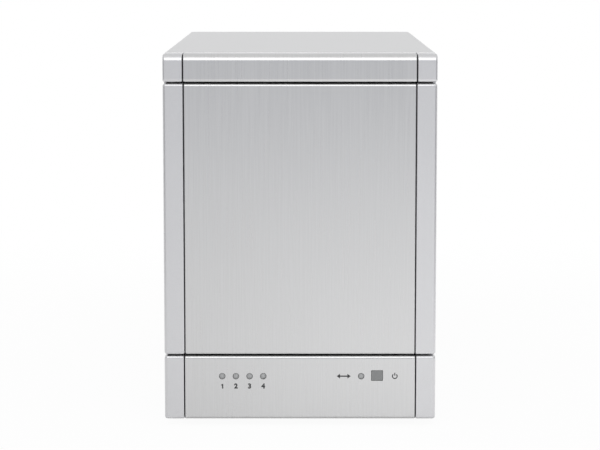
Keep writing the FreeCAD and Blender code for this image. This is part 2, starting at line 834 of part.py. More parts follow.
def front_bezel():
    """The moulding behind the bands and the door, with the window for the trays."""
    top = TOP_Z - COVER_T - SHEET_FIT
    half = POST_X - BEZEL_FIT
    front = FACE_T + BEZEL_FIT
    wall = block(-INNER_X, INNER_X, BAND_D, BEZEL_D1, BASE_Z, top)
    window = plate(-WINDOW_X, WINDOW_X, BAND_D - PAST, BEZEL_D1 + PAST, BAY_Z0, BAY_Z1, NOSE_GAP)
    parts = [
        block(-half, half, front, BAND_D, TOP_BAND_Z, TOP_BAND_Z + BEZEL_SHELF_T),
        block(-half, half, front, BAND_D, BAND_Z - BEZEL_SHELF_T, BAND_Z),
        block(-half, half, front, BAND_D, BASE_Z, BASE_Z + BEZEL_SHELF_T),
    ]
    rib_top = BAR_Z - BAR_T - BEZEL_FIT
    rib = [
        (front, TOP_BAND_Z, 0),
        (front, rib_top, BAR_INNER_R),
        (BAND_D, rib_top, 0),
        (BAND_D, TOP_BAND_Z, 0),
    ]
    for i in range(BEZEL_RIBS):
        x = (i + 0.5) * 2 * FACE_X / BEZEL_RIBS - FACE_X
        parts.append(prism(rib, in_side(x - BEZEL_RIB_T / 2), ACROSS * BEZEL_RIB_T))
    board_back = PANEL_BOARD_D + BOARD_T
    for x, z in stake_places():
        parts.append(rod(x, board_back, z, BAND_D - board_back, BOSS_R, BACK))
        parts.append(rod(x, PANEL_BOARD_D, z, BOARD_T, STAKE_R, BACK))
    return joined(wall.cut(window), *parts)


def drive_floor(number):
    return bay_floor(number) + TRAY_RISE + TRAY_LIP_T + BEZEL_FIT


def drive_hole_depths():
    rear = DRIVE_D1 - DRIVE_HOLE_FROM_REAR
    return [rear - DRIVE_HOLE_SPACING, rear]


def lever_box(number):
    """The lever's ends along X, then its lower and upper edge."""
    z = bay_floor(number)
    return LEVER_SIDE - NOSE_X, NOSE_X - LEVER_SHORT, z + LEVER_INSET, z + BAY_PITCH - LEVER_INSET


def release_block(number, room, d0, d1):
    x = (NOSE_X - LEVER_SHORT + RAIL_X0) / 2
    z = bay_floor(number) + BAY_PITCH / 2
    return centred(x, z, RELEASE_W + 2 * room, RELEASE_H + 2 * room, d0, d1, RELEASE_FIT)


def lever_pin(number, radius, past):
    x0, x1, z0, z1 = lever_box(number)
    floor = bay_floor(number) + NOSE_GAP
    length = BAY_PITCH - 2 * NOSE_GAP + 2 * past
    depth = BAND_D - LEVER_PROUD + LEVER_T / 2
    return rod(x0 + LEVER_PIN_IN, depth, floor - past, length, radius, UP)


def tray_rail(number):
    """The right-hand rail, with a lip under the drive and sunk holes for its screws."""
    floor = bay_floor(number) + TRAY_RISE
    profile = [
        (RAIL_X0 - TRAY_LIP_W, floor, 0),
        (RAIL_X1, floor, 0),
        (RAIL_X1, floor + TRAY_RAIL_H, TRAY_RAIL_R),
        (RAIL_X0, floor + TRAY_RAIL_H, 0),
        (RAIL_X0, floor + TRAY_LIP_T, 0),
        (RAIL_X0 - TRAY_LIP_W, floor + TRAY_LIP_T, 0),
    ]
    rail = prism(profile, in_front(BEZEL_D1), BACK * (TRAY_D1 - BEZEL_D1))
    z = drive_floor(number) + DRIVE_HOLE_Z
    head_x = RAIL_X1 - DRIVE_HEAD_T
    for d in drive_hole_depths():
        rail = rail.cut(rod(RAIL_X0 - PAST, d, z, TRAY_RAIL_T + 2 * PAST, DRIVE_SCREW_R + HOLE_FIT, ACROSS))
        rail = rail.cut(rod(head_x, d, z, DRIVE_HEAD_T + PAST, DRIVE_HEAD_R + HOLE_FIT, ACROSS))
    return rail


def tray_frame(number):
    """Nose plate with lugs for the lever, two side rails and two cross bars."""
    z = bay_floor(number)
    low = z + NOSE_GAP
    high = z + BAY_PITCH - NOSE_GAP
    x0, x1, z0, z1 = lever_box(number)
    face = BAND_D - LEVER_PROUD
    seat = face + LEVER_T + LEVER_FIT
    lug = 2 * LEVER_PIN_IN
    middle = z + BAY_PITCH / 2
    tall = LEVER_SLOT_H / 2
    nose = block(-NOSE_X, NOSE_X, BAND_D, BEZEL_D1, low, high)
    nose = rounded(nose, NOSE_EDGE_R, lambda e: on_plane(e, "y", FRONT_Y + BAND_D))
    nose = nose.cut(block(x0 - LEVER_FIT, x1 + LEVER_FIT, face, seat, z0 - LEVER_FIT, z1 + LEVER_FIT))
    nose = nose.cut(block(x0 + lug, x1 - lug, BAND_D, BEZEL_D1 + PAST, middle - tall, middle + tall))
    nose = nose.cut(release_block(number, RELEASE_FIT, BAND_D - PAST, BEZEL_D1 + PAST))
    floor = z + TRAY_RISE
    rail = tray_rail(number)
    parts = [
        block(x0, x0 + lug, face, BEZEL_D1, low, z0 - LEVER_FIT),
        block(x0, x0 + lug, face, BEZEL_D1, z1 + LEVER_FIT, high),
        block(-RAIL_X0, RAIL_X0, TRAY_D1 - TRAY_BAR_W, TRAY_D1, floor, floor + TRAY_LIP_T),
        block(-RAIL_X0, RAIL_X0, DRIVE_D, DRIVE_D + TRAY_BAR_W, floor, floor + TRAY_LIP_T),
        rail,
        mirrored(rail),
    ]
    return joined(nose, *parts).cut(lever_pin(number, LEVER_PIN_R + PIN_RUNNING, PAST))


def tray_lever(number):
    """The pull lever: rounded, slotted for air, with a finger scoop at its free end."""
    x0, x1, z0, z1 = lever_box(number)
    face = BAND_D - LEVER_PROUD
    back = face + LEVER_T
    body = plate(x0, x1, face, back, z0, z1, LEVER_END_R)
    body = rounded(body, LEVER_ROUND, lambda e: on_plane(e, "y", FRONT_Y + face))
    low = (z0 + z1 - LEVER_SLOT_H) / 2
    high = low + LEVER_SLOT_H
    x = x0 + 3 * LEVER_PIN_IN
    while x + LEVER_SLOT_W < x1 - LEVER_SCOOP_IN - LEVER_SCOOP_R:
        body = body.cut(plate(x, x + LEVER_SLOT_W, face - PAST, back + PAST, low, high, LEVER_SLOT_W / 2))
        x += LEVER_SLOT_PITCH
    scoop_d = face + LEVER_SCOOP_T - LEVER_SCOOP_R
    body = body.cut(rod(x1 - LEVER_SCOOP_IN, scoop_d, low, LEVER_SLOT_H, LEVER_SCOOP_R, UP))
    return body.cut(lever_pin(number, LEVER_PIN_R + PIN_RUNNING, PAST))


def tray_button(number):
    rim_d = BEZEL_D1 + GUIDE_GAP
    face = BAND_D - RELEASE_PROUD
    cap = release_block(number, 0, face, rim_d)
    cap = rounded(cap, LEVER_ROUND / 2, lambda e: on_plane(e, "y", FRONT_Y + face))
    rim = release_block(number, RELEASE_RIM, rim_d, rim_d + RELEASE_RIM_T)
    return joined(cap, rim)


def hard_drive(number):
    """Casting, lid and circuit board of one drive."""
    z0 = drive_floor(number)
    z1 = z0 + DRIVE_H - DRIVE_LID_T
    half = DRIVE_W / 2
    casting = slab(-half, half, DRIVE_D, DRIVE_D1, z0, z1, DRIVE_CORNER_R)
    board_d = DRIVE_D1 - PLUG_ENTRY - DRIVE_LID_R - DRIVE_BOARD_L
    board = (-DRIVE_BOARD_W / 2, DRIVE_BOARD_W / 2, board_d, board_d + DRIVE_BOARD_L)
    casting = casting.cut(block(*board, z0 - PAST, z0 + DRIVE_BOARD_T))
    plug_z = z0 + PLUG_RISE + PLUG_H / 2
    mouth = DRIVE_D1 - PLUG_ENTRY - PLUG_FIT
    width = PLUG_W + 2 * PLUG_FIT
    height = PLUG_H + 2 * PLUG_FIT
    casting = casting.cut(centred(PLUG_X, plug_z, width, height, mouth, DRIVE_D1 + PAST, 0))
    for d in drive_hole_depths():
        for x in (-half - PAST, half - DRIVE_HOLE_DEEP):
            hole = rod(x, d, z0 + DRIVE_HOLE_Z, DRIVE_HOLE_DEEP + PAST, DRIVE_SCREW_R + HOLE_FIT, ACROSS)
            casting = casting.cut(hole)
    lid_x = half - DRIVE_LID_INSET
    lid_d0 = DRIVE_D + DRIVE_LID_INSET
    lid_d1 = DRIVE_D1 - DRIVE_LID_INSET
    lid = slab(-lid_x, lid_x, lid_d0, lid_d1, z1, z1 + DRIVE_LID_T, DRIVE_LID_R)
    return Part.makeCompound([casting, lid, block(*board, z0, z0 + DRIVE_BOARD_T)])


def drive_screws():
    screws = []
    head_x = RAIL_X1 - DRIVE_HEAD_T
    length = head_x - DRIVE_W / 2 + DRIVE_SCREW_REACH
    for number in range(1, BAYS + 1):
        for d in drive_hole_depths():
            start = spot(head_x, d, drive_floor(number) + DRIVE_HOLE_Z)
            one = screw(start, ACROSS, DRIVE_SCREW_R, length, DRIVE_HEAD_R, DRIVE_HEAD_T)
            screws += [one, mirrored(one)]
    return Part.makeCompound(screws)


def bay_pieces():
    numbers = range(1, BAYS + 1)
    pieces = {
        "drive_screws": drive_screws(),
        "lever_pins": Part.makeCompound([lever_pin(n, LEVER_PIN_R, 0) for n in numbers]),
    }
    for number in numbers:
        pieces["tray_frame_%d" % number] = tray_frame(number)
        pieces["tray_lever_%d" % number] = tray_lever(number)
        pieces["tray_button_%d" % number] = tray_button(number)
        pieces["hard_drive_%d" % number] = hard_drive(number)
    return pieces


def drive_cage():
    """A folded tube on two legs, with tabs that carry the backplane."""
    out = CAGE_X + CAGE_T
    shelf = BAY_Z0 - CAGE_T
    in_r = CAGE_BEND_R - CAGE_T
    tube = plate(-out, out, CAGE_D, BACKPLANE_D, shelf, BAY_Z1 + CAGE_T, CAGE_BEND_R)
    tube = tube.cut(plate(-CAGE_X, CAGE_X, CAGE_D - PAST, BACKPLANE_D + PAST, BAY_Z0, BAY_Z1, in_r))
    leg_top = shelf + 2 * CAGE_BEND_R
    profile = [
        (CAGE_X, leg_top, 0),
        (CAGE_X, PAN_Z, CAGE_BEND_R),
        (out + CAGE_FOOT_W, PAN_Z, 0),
        (out + CAGE_FOOT_W, PAN_Z + CAGE_T, 0),
        (out, PAN_Z + CAGE_T, in_r),
        (out, leg_top, 0),
    ]
    leg_l = BACKPLANE_D - CAGE_LEG_FROM_REAR - CAGE_LEG_FROM_FRONT
    leg = prism(profile, in_front(CAGE_LEG_FROM_FRONT), BACK * leg_l)
    tab_d = BACKPLANE_D - CAGE_T
    tab = block(CAGE_X - CAGE_REAR_W, CAGE_X, tab_d, BACKPLANE_D, BAY_Z0, BAY_Z1)
    for z in backplane_screw_heights():
        x = CAGE_X - BACKPLANE_SCREW_IN
        tab = tab.cut(rod(x, tab_d - PAST, z, CAGE_T + 2 * PAST, BACKPLANE_SCREW_R + HOLE_FIT, BACK))
    body = joined(tube, leg, mirrored(leg), tab, mirrored(tab))
    for number in range(1, BAYS + 1):
        z = bay_floor(number) + CAGE_VENT_RISE
        vent_d = CAGE_VENT_D + CAGE_VENT_L
        body = body.cut(block(-out - PAST, out + PAST, CAGE_VENT_D, vent_d, z, z + CAGE_VENT_H))
    return body


def guide_rails():
    rails = []
    rear = BACKPLANE_D - GUIDE_FROM_REAR
    for number in range(1, BAYS + 1):
        top = bay_floor(number) + TRAY_RISE - GUIDE_GAP
        rail = block(CAGE_X - GUIDE_W, CAGE_X, GUIDE_FROM_FRONT, rear, top - GUIDE_T, top)
        rails += [rail, mirrored(rail)]
    return Part.makeCompound(rails)


def backplane_screw_heights():
    return [BAY_Z0 + BACKPLANE_SCREW_RISE, BAY_Z1 - BACKPLANE_SCREW_RISE]


def card_socket():
    """The slotted socket that holds the edge of the controller board."""
    x = CARD_X + BOARD_T / 2
    z = CARD_Z + CARD_H / 2
    end = BACKPLANE_D1 + CARD_SOCKET_T
    body = centred(x, z, CARD_SOCKET_W, CARD_SOCKET_H, BACKPLANE_D1, end, 0)
    width = BOARD_T + 2 * CARD_EDGE_FIT
    return body.cut(centred(x, z, width, CARD_H + 2 * PAST, BACKPLANE_D1 + CARD_GAP / 2, end + PAST, 0))


def backplane_pieces():
    half = CAGE_X - BACKPLANE_MARGIN
    board = block(-half, half, BACKPLANE_D, BACKPLANE_D1, BAY_Z0, BAY_Z1)
    plugs = [card_socket()]
    screws = []
    front = BACKPLANE_D - PAST
    for number in range(1, BAYS + 1):
        z = bay_floor(number) + BACKPLANE_VENT_RISE + BACKPLANE_VENT_H / 2
        size = (BACKPLANE_VENT_W, BACKPLANE_VENT_H)
        board = board.cut(centred(0, z, *size, front, BACKPLANE_D1 + PAST, BACKPLANE_VENT_R))
        plug_z = drive_floor(number) + PLUG_RISE + PLUG_H / 2
        plugs.append(centred(PLUG_X, plug_z, PLUG_W, PLUG_H, DRIVE_D1 - PLUG_ENTRY, BACKPLANE_D, 0))
    for z in backplane_screw_heights():
        for x in (BACKPLANE_SCREW_IN - CAGE_X, CAGE_X - BACKPLANE_SCREW_IN):
            board = board.cut(rod(x, front, z, BOARD_T + 2 * PAST, BACKPLANE_SCREW_R + HOLE_FIT, BACK))
            head = (BACKPLANE_HEAD_R, BACKPLANE_HEAD_T)
            screws.append(screw(spot(x, BACKPLANE_D1, z), BACK, BACKPLANE_SCREW_R, BACKPLANE_SCREW_L, *head))
    return {
        "backplane_board": board,
        "backplane_connectors": Part.makeCompound(plugs),
        "backplane_screws": Part.makeCompound(screws),
    }


def port_centre(width, height, rise):
    return CARD_X + BOARD_T + width / 2, CARD_Z + rise + height / 2


def port(width, height, length, rise, mouth_w, mouth_h, mouth_cut, tongue_w, tongue_h):
    """A socket on the card: a shell with a keyed well, and a tongue standing in it."""
    x, z = port_centre(width, height, rise)
    face = PANEL_D1 + PORT_PROUD
    well = face - PORT_WELL
    body = centred(x, z, width, height, face - length, face, 0)
    mouth = keyed(x, z, mouth_w, mouth_h, mouth_cut)
    body = body.cut(prism(mouth, in_front(well), BACK * (PORT_WELL + PAST)))
    return joined(body, centred(x, z, tongue_w, tongue_h, well, face - PORT_PROUD, 0))


def port_cutout(width, height, rise):
    x, z = port_centre(width, height, rise)
    return centred(x, z, width + 2 * PORT_FIT, height + 2 * PORT_FIT, PANEL_D - PAST, PANEL_D1 + PAST, 0)


def card_pieces():
    side = CARD_X + BOARD_T
    board_d = BACKPLANE_D1 + CARD_GAP
    board = block(CARD_X, side, board_d, PANEL_D - CARD_GAP, CARD_Z, CARD_Z + CARD_H)
    chip_d = (BACKPLANE_D1 + PANEL_D - CARD_CHIP_W) / 2
    chip_z = CARD_Z + (CARD_H - CARD_CHIP_W) / 2
    chip = block(side, side + CARD_CHIP_T, chip_d, chip_d + CARD_CHIP_W, chip_z, chip_z + CARD_CHIP_W)
    usb_mouth = (USB_MOUTH_W, USB_MOUTH_H, USB_MOUTH_CUT)
    sata_mouth = (SATA_MOUTH_W, SATA_MOUTH_H, SATA_MOUTH_CUT)
    return {
        "controller_board": Part.makeCompound([board, chip]),
        "usb_socket": port(USB_W, USB_H, USB_L, USB_RISE, *usb_mouth, USB_TONGUE_W, USB_TONGUE_H),
        "esata_socket": port(SATA_W, SATA_H, SATA_L, SATA_RISE, *sata_mouth, SATA_TONGUE_W, SATA_TONGUE_H),
    }


def cover_screw_places():
    x = INNER_X - COVER_FLANGE_W / 2
    heights = (BASE_Z + COVER_SCREW_LOW, TOP_Z - COVER_SCREW_HIGH)
    return [(sign * x, z) for sign in (-1, 1) for z in heights]


def slot_heights():
    pitch = BAY_PITCH / SLOTS_PER_BAY
    return [BAY_Z0 + (i + 0.5) * pitch for i in range(BAYS * SLOTS_PER_BAY)]


def outer_cover():
    """One folded sheet over the top and both sides, turned in at the back."""
    top = [(HALF_W, TOP_Z, COVER_BEND_R), (-HALF_W, TOP_Z, COVER_BEND_R)]
    outside = [(-HALF_W, BASE_Z, 0), (HALF_W, BASE_Z, 0)] + top
    in_x = HALF_W - COVER_T
    in_z = TOP_Z - COVER_T
    in_r = COVER_BEND_R - COVER_T
    inside = [(-in_x, BASE_Z - PAST, 0), (in_x, BASE_Z - PAST, 0), (in_x, in_z, in_r), (-in_x, in_z, in_r)]
    body = prism(outside, in_front(COVER_D), BACK * (BODY_D - COVER_D))
    front = FRONT_Y + COVER_D
    body = rounded(body, COVER_EDGE_R, lambda e: on_plane(e, "y", front) and not on_plane(e, "z", BASE_Z))
    body = body.cut(prism(inside, in_front(COVER_D - PAST), BACK * (BODY_D - COVER_T - COVER_D + PAST)))
    mouth = in_x - COVER_FLANGE_W
    mouth_z = in_z - COVER_FLANGE_W
    body = body.cut(block(-mouth, mouth, BODY_D - 2 * COVER_T, BODY_D + PAST, BASE_Z - PAST, mouth_z))
    half = SLOT_H / 2
    for z in slot_heights():
        ends = [(SLOT_D, z - half, half), (SLOT_D + SLOT_L, z - half, half)]
        ends += [(SLOT_D + SLOT_L, z + half, half), (SLOT_D, z + half, half)]
        body = body.cut(prism(ends, in_side(-HALF_W - PAST), ACROSS * (BODY_W + 2 * PAST)))
    for x, z in cover_screw_places():
        hole_d = BODY_D - COVER_T - PAST
        body = body.cut(rod(x, hole_d, z, COVER_T + 2 * PAST, COVER_SCREW_R + HOLE_FIT, BACK))
    return body


def foot_places():
    rear = BODY_D - FOOT_FROM_REAR
    return [(sign * FOOT_X, d) for d in (FOOT_FROM_FRONT, rear) for sign in (-1, 1)]


def base_pan():
    """The floor of the case, folded up at both sides, with a lip at the front."""
    top = PAN_Z + PAN_FLANGE_H
    in_x = INNER_X - SHEET_T
    in_r = SHEET_BEND_R - SHEET_T
    trough = [
        (-INNER_X, top, 0),
        (-INNER_X, BASE_Z, SHEET_BEND_R),
        (INNER_X, BASE_Z, SHEET_BEND_R),
        (INNER_X, top, 0),
        (in_x, top, 0),
        (in_x, PAN_Z, in_r),
        (-in_x, PAN_Z, in_r),
        (-in_x, top, 0),
    ]
    body = prism(trough, in_front(CAGE_D), BACK * (PANEL_D1 - CAGE_D))
    body = joined(body, block(-in_x, in_x, CAGE_D, CAGE_D + SHEET_T, BASE_Z, top))
    seat_d = PANEL_D - SHEET_FIT
    body = body.cut(block(-HALF_W, HALF_W, seat_d, PANEL_D1 + PAST, PAN_Z, top + PAST))
    for x, d in foot_places():
        body = body.cut(rod(x, d, BASE_Z - PAST, SHEET_T + 2 * PAST, FOOT_SCREW_R + HOLE_FIT, UP))
    first = SUPPLY_D + SUPPLY_L / 2 - (PAN_SLOTS - 1) * PAN_SLOT_PITCH / 2
    half_l = PAN_SLOT_L / 2
    half_w = PAN_SLOT_W / 2
    for i in range(PAN_SLOTS):
        d = first + i * PAN_SLOT_PITCH
        body = body.cut(slab(-half_l, half_l, d - half_w, d + half_w, BASE_Z - PAST, PAN_Z + PAST, half_w))
    return body


def foot(x, d):
    """A tapered rubber ring with a well for its screw."""
    hole = FOOT_SCREW_R + HOLE_FIT
    profile = [
        (0, FOOT_WELL_R, 0),
        (0, FOOT_R - FOOT_TAPER, FOOT_EDGE_R),
        (FOOT_H, FOOT_R, 0),
        (FOOT_H, hole, 0),
        (FOOT_WELL_H, hole, 0),
        (FOOT_WELL_H, FOOT_WELL_R, 0),
    ]
    return turned(profile, spot(x, d, 0), UP, ACROSS)


def foot_screw(x, d):
    return screw(spot(x, d, FOOT_WELL_H), -UP, FOOT_SCREW_R, FOOT_SCREW_L, FOOT_HEAD_R, FOOT_HEAD_T)


def fan_corners():
    half = FAN_HOLE_SPACING / 2
    return [(FAN_X + a * half, FAN_Z + b * half) for a in (-1, 1) for b in (-1, 1)]


def rear_panel():
    """The sheet that carries the fan, the sockets and the mains inlet, folded at top and bottom."""
    top = TOP_Z - COVER_T - SHEET_FIT
    flange_d = PANEL_D - PANEL_FLANGE_W
    in_r = SHEET_BEND_R - SHEET_T
    channel = [
        (flange_d, PAN_Z, 0),
        (PANEL_D1, PAN_Z, SHEET_BEND_R),
        (PANEL_D1, top, SHEET_BEND_R),
        (flange_d, top, 0),
        (flange_d, top - SHEET_T, 0),
        (PANEL_D, top - SHEET_T, in_r),
        (PANEL_D, PAN_Z + SHEET_T, in_r),
        (flange_d, PAN_Z + SHEET_T, 0),
    ]
    body = prism(channel, in_side(-INNER_X), ACROSS * (2 * INNER_X))
    notch = block(INNER_X - 2 * SHEET_T, HALF_W, flange_d - PAST, PANEL_D, BASE_Z, TOP_Z)
    body = body.cut(notch).cut(mirrored(notch))
    start = PANEL_D - PAST
    end = PANEL_D1 + PAST
    holes = [(FAN_X, FAN_Z, FAN_BORE_R)]
    holes += [(x, z, FAN_HOLE_R) for x, z in fan_corners()]
    holes += [(x, z, COVER_SCREW_R + HOLE_FIT) for x, z in cover_screw_places()]
    holes += [(x, z, INLET_SCREW_R + HOLE_FIT) for x, z in inlet_holes()]
    for x, z, radius in holes:
        body = body.cut(rod(x, start, z, end - start, radius, BACK))
    body = body.cut(port_cutout(USB_W, USB_H, USB_RISE))
    body = body.cut(port_cutout(SATA_W, SATA_H, SATA_RISE))
    room = 2 * CUTOUT_FIT
    body = body.cut(centred(INLET_X, MAINS_LEVEL, INLET_W + room, INLET_H + room, start, end, 0))
    switch = (ROCKER_BODY_W + room, ROCKER_BODY_H + room)
    body = body.cut(centred(ROCKER_X, MAINS_LEVEL, *switch, start, end, 0))
    x = REAR_SLOT_X
    while x + REAR_SLOT_W < FLANGE_X:
        body = body.cut(centred(x, MAINS_LEVEL, REAR_SLOT_W, REAR_SLOT_H, start, end, REAR_SLOT_W / 2))
        x += REAR_SLOT_PITCH
    return body


def fan_rod(d, length, radius):
    return rod(FAN_X, d, FAN_Z, length, radius, BACK)


def fan_frame():
    """A square frame round a tube, with corner posts and the motor's plate on struts."""
    flanges = (FAN_FRONT, PANEL_D - FAN_FLANGE_T)
    parts = [centred(FAN_X, FAN_Z, FAN_W, FAN_W, d, d + FAN_FLANGE_T, FAN_CORNER_R) for d in flanges]
    parts += [rod(x, FAN_FRONT, z, FAN_D, FAN_POST_R, BACK) for x, z in fan_corners()]
    body = joined(fan_rod(FAN_FRONT, FAN_D, FAN_BORE_R + FAN_RING_T), *parts)
    body = body.cut(fan_rod(FAN_FRONT - PAST, FAN_D + 2 * PAST, FAN_BORE_R))
    for x, z in fan_corners():
        body = body.cut(rod(x, FAN_FRONT - PAST, z, FAN_D + 2 * PAST, FAN_HOLE_R, BACK))
    motor_d = PANEL_D - FAN_MOTOR_T
    boss_d = motor_d - FAN_BOSS_L
    parts = [fan_rod(motor_d, FAN_MOTOR_T, FAN_MOTOR_R), fan_rod(boss_d, FAN_BOSS_L, FAN_BOSS_R)]
    reach = FAN_BORE_R + FAN_RING_T / 2
    half = FAN_STRUT_W / 2
    for i in range(FAN_STRUTS):
        strut = block(FAN_X, FAN_X + reach, motor_d, PANEL_D, FAN_Z - half, FAN_Z + half)
        strut.rotate(spot(FAN_X, 0, FAN_Z), BACK, i * 360.0 / FAN_STRUTS)
        parts.append(strut)
    body = joined(body, *parts)
    return body.cut(fan_rod(boss_d - PAST, FAN_BOSS_L + PAST, FAN_SHAFT_R + FAN_SHAFT_RUNNING))


def blade_section(radius, rise, run, sweep, middle):
    """A slanted, cambered outline standing across the radius."""
    slant = math.atan2(rise, run)
    chord = math.hypot(rise, run)

    def point(share, offset):
        u = share * chord * math.cos(slant) - offset * math.sin(slant)
        d = share * chord * math.sin(slant) + offset * math.cos(slant)
        return spot(FAN_X + u, middle + d, FAN_Z + radius)

    half = BLADE_T / 2
    front = Part.Arc(point(-0.5, -half), point(0, BLADE_CAMBER - half), point(0.5, -half))
    back = Part.Arc(point(0.5, half), point(0, BLADE_CAMBER + half), point(-0.5, half))
    wire = Part.Wire([
        front.toShape(),
        Part.makeLine(point(0.5, -half), point(0.5, half)),
        back.toShape(),
        Part.makeLine(point(-0.5, half), point(-0.5, -half)),
    ])
    wire.rotate(spot(FAN_X, 0, FAN_Z), BACK, sweep)
    return wire


def fan_rotor():
    """Hub cup with its shaft, and swept blades that twist from root to tip."""
    cup_d = FAN_FRONT + HUB_FROM_FRONT
    length = PANEL_D - FAN_MOTOR_T - HUB_FLOAT - cup_d
    profile = [
        (0, 0, 0),
        (0, HUB_R, HUB_EDGE_R),
        (length, HUB_R, 0),
        (length, HUB_R - HUB_T, 0),
        (HUB_T, HUB_R - HUB_T, 0),
        (HUB_T, FAN_SHAFT_R, 0),
        (length, FAN_SHAFT_R, 0),
        (length, 0, 0),
    ]
    hub = turned(profile, spot(FAN_X, cup_d, FAN_Z), BACK, UP)
    middle = cup_d + length / 2
    tip = FAN_BORE_R - BLADE_TIP_GAP
    root_wire = blade_section(HUB_R - HUB_T / 2, BLADE_RISE_ROOT, BLADE_RUN_ROOT, 0, middle)
    tip_wire = blade_section(FAN_BORE_R, BLADE_RISE_TIP, BLADE_RUN_TIP, BLADE_SWEEP, middle)
    blade = Part.makeLoft([root_wire, tip_wire], True, True)
    blade = blade.common(fan_rod(FAN_FRONT, FAN_D, tip))
    blades = []
    for i in range(BLADES):
        turn = blade.copy()
        turn.rotate(spot(FAN_X, 0, FAN_Z), BACK, i * 360.0 / BLADES)
        blades.append(turn)
    return joined(hub, *blades)


def fan_guard():
    """Round wire rings welded on four legs, with an eye round each screw."""
    half = GUARD_WIRE / 2
    leg_d = PANEL_D1 + half
    ring_d = leg_d + GUARD_WIRE - GUARD_WELD
    eye_r = GUARD_EYE_R - half
    parts = [Part.makeTorus(radius, half, spot(FAN_X, ring_d, FAN_Z), BACK) for radius in GUARD_RINGS]
    parts += [Part.makeTorus(eye_r, half, spot(x, leg_d, z), BACK) for x, z in fan_corners()]
    start = GUARD_RINGS[0]
    reach = FAN_HOLE_SPACING / math.sqrt(2) - eye_r
    for i in range(4):
        leg = rod(FAN_X + start, leg_d, FAN_Z, reach - start, half, ACROSS)
        leg.rotate(spot(FAN_X, 0, FAN_Z), BACK, 45 + 90 * i)
        parts.append(leg)
    return joined(parts[0], *parts[1:])


def fan_screw(x, z):
    start = spot(x, PANEL_D1 + GUARD_WIRE, z)
    return screw(start, BACK, FAN_SCREW_R, FAN_SCREW_L, FAN_HEAD_R, FAN_HEAD_T)


def power_supply():
    """The supply's closed case, slotted on top."""
    x0 = SUPPLY_X - SUPPLY_W / 2
    top = PAN_Z + SUPPLY_H
    body = slab(x0, x0 + SUPPLY_W, SUPPLY_D, SUPPLY_D + SUPPLY_L, PAN_Z, top, SUPPLY_EDGE_R)
    first = SUPPLY_D + SUPPLY_L / 2 - (SUPPLY_SLOTS - 1) * SUPPLY_SLOT_PITCH / 2
    slot_x = SUPPLY_X - SUPPLY_SLOT_L / 2
    for i in range(SUPPLY_SLOTS):
        d = first + i * SUPPLY_SLOT_PITCH
        low = top - SUPPLY_SLOT_T
        body = body.cut(block(slot_x, slot_x + SUPPLY_SLOT_L, d, d + SUPPLY_SLOT_W, low, top + PAST))
    return body


def inlet_holes():
    half = INLET_HOLE_SPACING / 2
    return [(INLET_X - half, MAINS_LEVEL), (INLET_X + half, MAINS_LEVEL)]


def inlet_pieces():
    """Mains inlet: flanged housing with a keyed well, three contact pins and two screws."""
    face = PANEL_D1 + INLET_FLANGE_T
    z = MAINS_LEVEL
    flange = centred(INLET_X, z, INLET_FLANGE_W, INLET_FLANGE_H, PANEL_D1, face, INLET_FLANGE_R)
    body = joined(flange, centred(INLET_X, z, INLET_W, INLET_H, face - INLET_L, PANEL_D1, 0))
    well_d = face - INLET_WELL_L
    key = keyed(INLET_X, z, INLET_WELL_W, INLET_WELL_H, INLET_WELL_CUT)
    body = body.cut(prism(key, in_front(well_d), BACK * (INLET_WELL_L + PAST)))
    seat = face - INLET_HEAD_T
    screws = []
    for x, hole_z in inlet_holes():
        through = INLET_FLANGE_T + 2 * PAST
        body = body.cut(rod(x, PANEL_D1 - PAST, hole_z, through, INLET_SCREW_R + HOLE_FIT, BACK))
        body = body.cut(rod(x, seat, hole_z, INLET_HEAD_T + PAST, INLET_HEAD_R + HOLE_FIT, BACK))
        start = spot(x, seat, hole_z)
        screws.append(screw(start, BACK, INLET_SCREW_R, INLET_SCREW_L, INLET_HEAD_R, INLET_HEAD_T))
    pins = []
    for side, rise in ((-1, -1), (0, 1), (1, -1)):
        x = INLET_X + side * INLET_PIN_SIDE
        pin = (x, z + rise * INLET_PIN_DROP, INLET_PIN_W, INLET_PIN_H)
        pins.append(centred(*pin, well_d, face - INLET_PIN_SUNK, 0))
    return body, Part.makeCompound(pins), screws


def rocker_axis():
    """The rocker's pivot: its x and its depth."""
    return ROCKER_X, PANEL_D1 + ROCKER_BEZEL_T - ROCKER_T / 2


def switch_housing():
    """The rocker's frame, with a well and two pivot holes."""
    face = PANEL_D1 + ROCKER_BEZEL_T
    z = MAINS_LEVEL
    bezel = centred(ROCKER_X, z, ROCKER_BEZEL_W, ROCKER_BEZEL_H, PANEL_D1, face, ROCKER_BEZEL_R)
    back = face - ROCKER_BODY_L
    body = joined(bezel, centred(ROCKER_X, z, ROCKER_BODY_W, ROCKER_BODY_H, back, PANEL_D1, 0))
    room = 2 * ROCKER_FIT
    well_d = face - ROCKER_WELL_L
    body = body.cut(centred(ROCKER_X, z, ROCKER_W + room, ROCKER_H + room, well_d, face + PAST, 0))
    x, d = rocker_axis()
    reach = ROCKER_H / 2 + ROCKER_PIN_L + ROCKER_PIN_FIT
    return body.cut(rod(x, d, z - reach, 2 * reach, ROCKER_PIN_R + ROCKER_PIN_FIT, UP))


